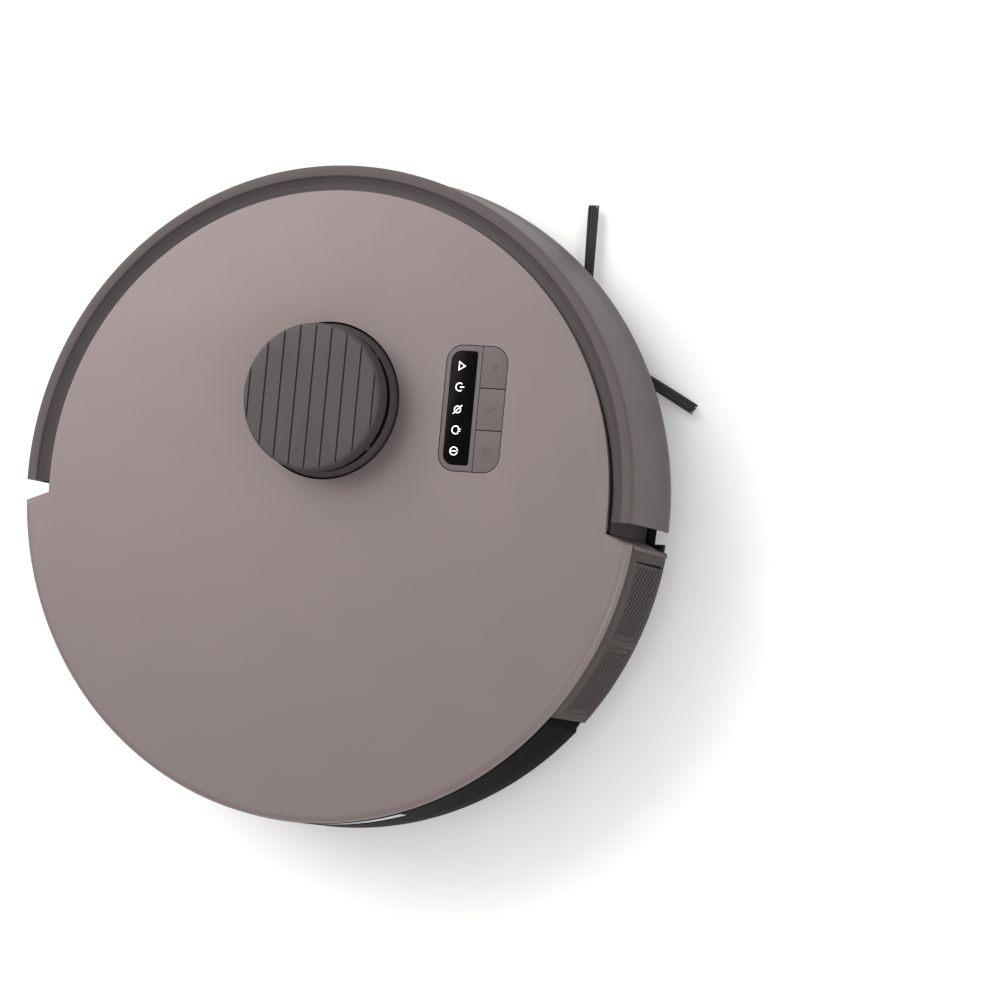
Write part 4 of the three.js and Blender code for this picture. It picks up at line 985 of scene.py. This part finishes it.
# ---------- wheels
def tyre(side):
    lo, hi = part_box(f"tyre_{side}")
    r, half = (hi.z - lo.z) / 2, (hi.x - lo.x) / 2
    profile = near(0, -half, (28.2, 0), (31.4, 0), (32.6, 0.7), (33.1, 2))
    profile += near(0, half, (33.2, -2), (32.6, -0.7), (31.4, 0), (28.2, 0))
    carcass = revolve("carcass", profile, steps=120)
    carcass.data.transform(Matrix.Rotation(pi / 2, 4, "Y"))
    pieces = [carcass]
    half_y, z0, z1 = 1.9 * MM, 32.6 * MM, r - 0.55 * MM
    for i in range(LUGS):
        for row, offset in ((-1, 0), (1, 0.5)):
            x0, x1 = (row * 0.5 - 0.46) * half, (row * 0.5 + 0.46) * half
            lug = block("lug", (x0, -half_y, z0), (x1, half_y, z1), 0.45 * MM)
            lug.data.transform(Matrix.Rotation(row * LUG_LEAN, 4, "Z"))
            # the lug's X is the axle, its Z the radius
            lug.data.transform(Matrix.Rotation((i + offset) / LUGS * 2 * pi, 4, "X"))
            pieces.append(lug)
    piece = joined(f"tread_{side}", pieces)
    piece.data.transform(Matrix.Translation(middle(f"tyre_{side}")))
    dress(piece, f"wheel_{side}", "tyre", [f"tyre_{side}"], 30)


def wheel_hub(side):
    centre = middle(f"tyre_{side}")
    sign = 1 if side == "right" else -1
    lo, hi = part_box(f"wheel_hub_{side}")
    inner, outer = (lo.x, hi.x) if sign > 0 else (-hi.x, -lo.x)
    profile = near(0, inner, (3.5, 0.8), (9, 0.8), (9, 8), (25, 9), (25.4, 0), (27.95, 0))
    profile += near(0, outer, (27.95, 0), (25.4, 0), (25, -7), (10, -4.4), (9, -1.8), (3.5, -1.8))
    profile = rounded_profile(profile, [0, 0.4, 0.8, 0.8, 0.3, 0.3, 0.5, 0.4, 0.8, 0.6, 0.6, 0], 3)
    hub = revolve("rim", profile, steps=96)
    holes = []
    for a in [radians(60 * i) for i in range(6)]:
        x, y = 17.2 * MM * cos(a), 17.2 * MM * sin(a)
        holes.append(peg("hole", x, y, 4.4 * MM, inner - 0.02, outer + 0.02))
    combine(hub, holes)
    soften(hub, 0.3 * MM, 2, 50)
    cap = lathe("axle_cap", near(0, outer, (0, -6), (3.2, -6), (3.2, -1.2), (2.6, -0.7), (0, -0.6)), steps=32)
    hub = joined(f"rim_{side}", [hub, cap])
    hub.data.transform(Matrix(((0, 0, sign, 0), (1, 0, 0, centre.y), (0, 1, 0, centre.z), (0, 0, 0, 1))))
    if sign < 0:
        hub.data.flip_normals()
    dress(hub, f"wheel_{side}", "grey", [f"wheel_hub_{side}"], 30)


def caster():
    at, axle = pivot("caster_swivel"), pivot("caster_roll")
    lo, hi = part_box("caster_wheel")
    tread = section(1.75 * MM, (hi.z - lo.z) / 2, (lo.x - hi.x) / 2, (hi.x - lo.x) / 2)
    roller = revolve("caster_roller", rounded_profile(tread, [0, 2.2, 2.2, 0], 6), steps=96)
    dress(along_x(roller, axle.y, axle.z), "caster_wheel", "tyre", ["caster_wheel"])
    lo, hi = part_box("caster_fork")
    profile = near(0, lo.z, (0, 0), (19.4, 0), (20.6, 0.5), (22, 2.8))
    profile += mm([(22, 34.3), (21.5, 34.8), (3.9, 34.8)])
    profile += near(0, hi.z, (3.9, -0.4), (3.5, 0), (0, 0))
    fork = lathe("caster_cup", profile, (at.x, at.y))
    half_x, half_y = 8.4 * MM, 16.6 * MM
    slot_outline = rounded_rect(-half_x, half_x, axle.y - half_y, axle.y + half_y, [3 * MM] * 4)
    slot = prism("slot", slot_outline, 0, 31.6 * MM)
    bore = along_x(peg("bore", 0, 0, 1.5 * MM, -0.03, 0.03), axle.y, axle.z)
    combine(fork, [slot, bore])
    soften(fork, 0.35 * MM, 2, 50)
    dress(fork, "caster_fork", "nylon", ["caster_fork"], 30)
    lo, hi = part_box("caster_axle")
    pin = peg("caster_pin", 0, 0, 1.2 * MM, lo.x, hi.x, 24, 0.2 * MM, 0.2 * MM)
    dress(along_x(pin, axle.y, axle.z), "caster_fork", "steel", ["caster_axle"])


# ---------- brushes
def main_brush():
    at = pivot("main_brush_spin")
    lo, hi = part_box("main_brush")
    tip = (hi.z - lo.z) / 2 / MM
    half, stations = 78 * MM, 70
    # (radius in mm, angle from the vane's middle), one side of a vane and then the other
    vane = [(9, -0.5), (9.4, -0.28), (11.5, -0.13), (tip - 0.5, -0.05), (tip, -0.02)]
    vane += [(r, -da) for r, da in vane[:0:-1]]
    rings = []
    for k in range(stations + 1):
        x = -half + 2 * half * k / stations
        turn = VANE_TWIST * abs(x / half)
        polars = [(r * MM, 2 * pi * i / VANES + turn + da) for i in range(VANES) for r, da in vane]
        rings.append([(x, at.y + r * cos(a), at.z + r * sin(a)) for r, a in polars])
    pieces = [loft("brush_roller", rings)]
    pieces.append(along_x(peg("pins", 0, 0, 3.6 * MM, lo.x, hi.x, 32, 0.4 * MM, 0.4 * MM), at.y, at.z))
    for x in (-78.2 * MM, 78.2 * MM):
        cap = peg("cap", 0, 0, 12 * MM, x - 0.7 * MM, x + 0.7 * MM, 48, 0.3 * MM, 0.3 * MM)
        pieces.append(along_x(cap, at.y, at.z))
    dress(joined("brush_roller", pieces), "main_brush", "brush_rubber", ["main_brush"], 40)


def brush_guard():
    at = pivot("main_brush_spin")
    lo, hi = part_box("brush_guard")
    guard = prism("guard_frame", plan("brush_guard", 3 * MM), lo.z, hi.z, 0.3 * MM, 0.5 * MM)
    mouth = rounded_rect(-78 * MM, 78 * MM, at.y - 22.6 * MM, -20.4 * MM, [4 * MM] * 4)
    cutters = [prism("mouth", mouth, 0, 20 * MM)]
    for x in (-81 * MM, 81 * MM):
        grip = rounded_rect(x - 1.6 * MM, x + 1.6 * MM, at.y - 8 * MM, at.y + 8 * MM, [1.5 * MM] * 4)
        cutters.append(prism("grip", grip, 0, lo.z + 0.9 * MM))
    combine(guard, cutters)
    soften(guard, 0.3 * MM, 2, 50)
    dress(guard, "brush_guard", "grey", ["brush_guard"], 30)


def oval(centre, side, w, h, steps):
    """Closed ring of points, w to each side and h up and down, in millimetres."""
    angles = [2 * pi * k / steps for k in range(steps)]
    return [centre + side * (w * cos(t) * MM) + Vector((0, 0, h * sin(t) * MM)) for t in angles]


def side_brush():
    at = pivot("side_brush_spin")
    low_z = low("side_brush").z
    hub_r = 9.4
    profile = near(0, low_z, (0, 0.6), (2.6, 0.6), (2.8, 0), (6.2, 0), (7, 0.2), (9.2, 1.3), (hub_r, 1.7))
    profile += mm([(hub_r, 8.7), (hub_r - 0.3, 9), (3.2, 9), (3.2, 12), (0, 12)])
    dress(lathe("sweeper_hub", profile, (at.x, at.y), 64), "side_brush", "black", ["side_brush"])
    dress(screw(at.x, at.y, low_z + 0.75 * MM), "side_brush", "steel")
    collar = section((hub_r + 0.35) * MM, (hub_r + 3) * MM, 6 * MM, 8.4 * MM)
    collar = rounded_profile(collar, [0, 0.7, 0.7, 0], 4)
    holders = [revolve("collar", collar, centre=(at.x, at.y), steps=64)]
    start, reach = Vector((at.x, at.y, 7.2 * MM)), 71.3 * MM

    def droop(share):
        return 3.2 * MM * max(0, share - 0.17)

    strands = []
    for az in (ARM_AZ, ARM_AZ + 120, ARM_AZ + 240):
        direction = polar(1, az, 0)
        side = Vector((direction.y, -direction.x, 0))
        rings = []
        for share, w, h in ((0.12, 3.0, 1.15), (0.2, 2.6, 1.05), (0.3, 2.0, 0.9), (0.4, 1.7, 0.75)):
            centre = start + direction * reach * share - Vector((0, 0, droop(share)))
            rings.append(oval(centre, side, w, h, 16))
        holders.append(loft("root", rings))
        for _ in range(STRANDS):
            spread = random.uniform(-1, 1)
            lift = random.uniform(-1, 1)
            length = reach * random.uniform(0.965, 0.999)
            bow = random.uniform(-0.4, 0.4) * MM
            rings = []
            for share, thick in ((0.3, 0.3), (0.5, 0.3), (0.75, 0.27), (0.98, 0.18)):
                centre = start + direction * length * share
                centre += side * (spread * (1.3 + 1.5 * share) * MM + bow * sin(pi * share))
                centre.z += lift * 0.55 * MM - droop(share)
                rings.append(oval(centre, side, thick, thick, 5))
            strands.append(loft("strand", rings))
    dress(joined("sweeper_collar", holders), "side_brush", "black_matt")
    dress(joined("sweeper_bristles", strands), "side_brush", "bristle", ["side_brush_tufts"], 60)


# ---------- pieces shown by the CAD mesh
CARRIED = {
    "black_matt": ("lidar_base", "brush_chamber", "suction_duct", "fan_housing", "fan_inlet_duct"),
    "black": ("lidar_pulley", "speaker", "caster_socket"),
    "grey": ("brush_gearbox", "fan_impeller", "wheel_arm_right", "wheel_arm_left", "side_brush_motor",
             "bin_flap"),
    "steel": ("lidar_motor", "brush_motor", "wheel_motor_right", "wheel_motor_left",
              "suspension_spring_right", "suspension_spring_left", "bumper_switch_right",
              "bumper_switch_left"),
    "board": ("main_board", "panel_board"),
    "belt": ("lidar_belt",),
    "wrap": ("battery_pack",),
    "paper": ("bin_filter",),
}

cover_shell()
body_shell()
bumper()
turret()
laser()
panel()
dust_bin()
underside()
for side_name in ("right", "left"):
    tyre(side_name)
    wheel_hub(side_name)
caster()
main_brush()
brush_guard()
side_brush()
for look_name, node_names in CARRIED.items():
    for node_name in node_names:
        repaint(node_name, look_name)
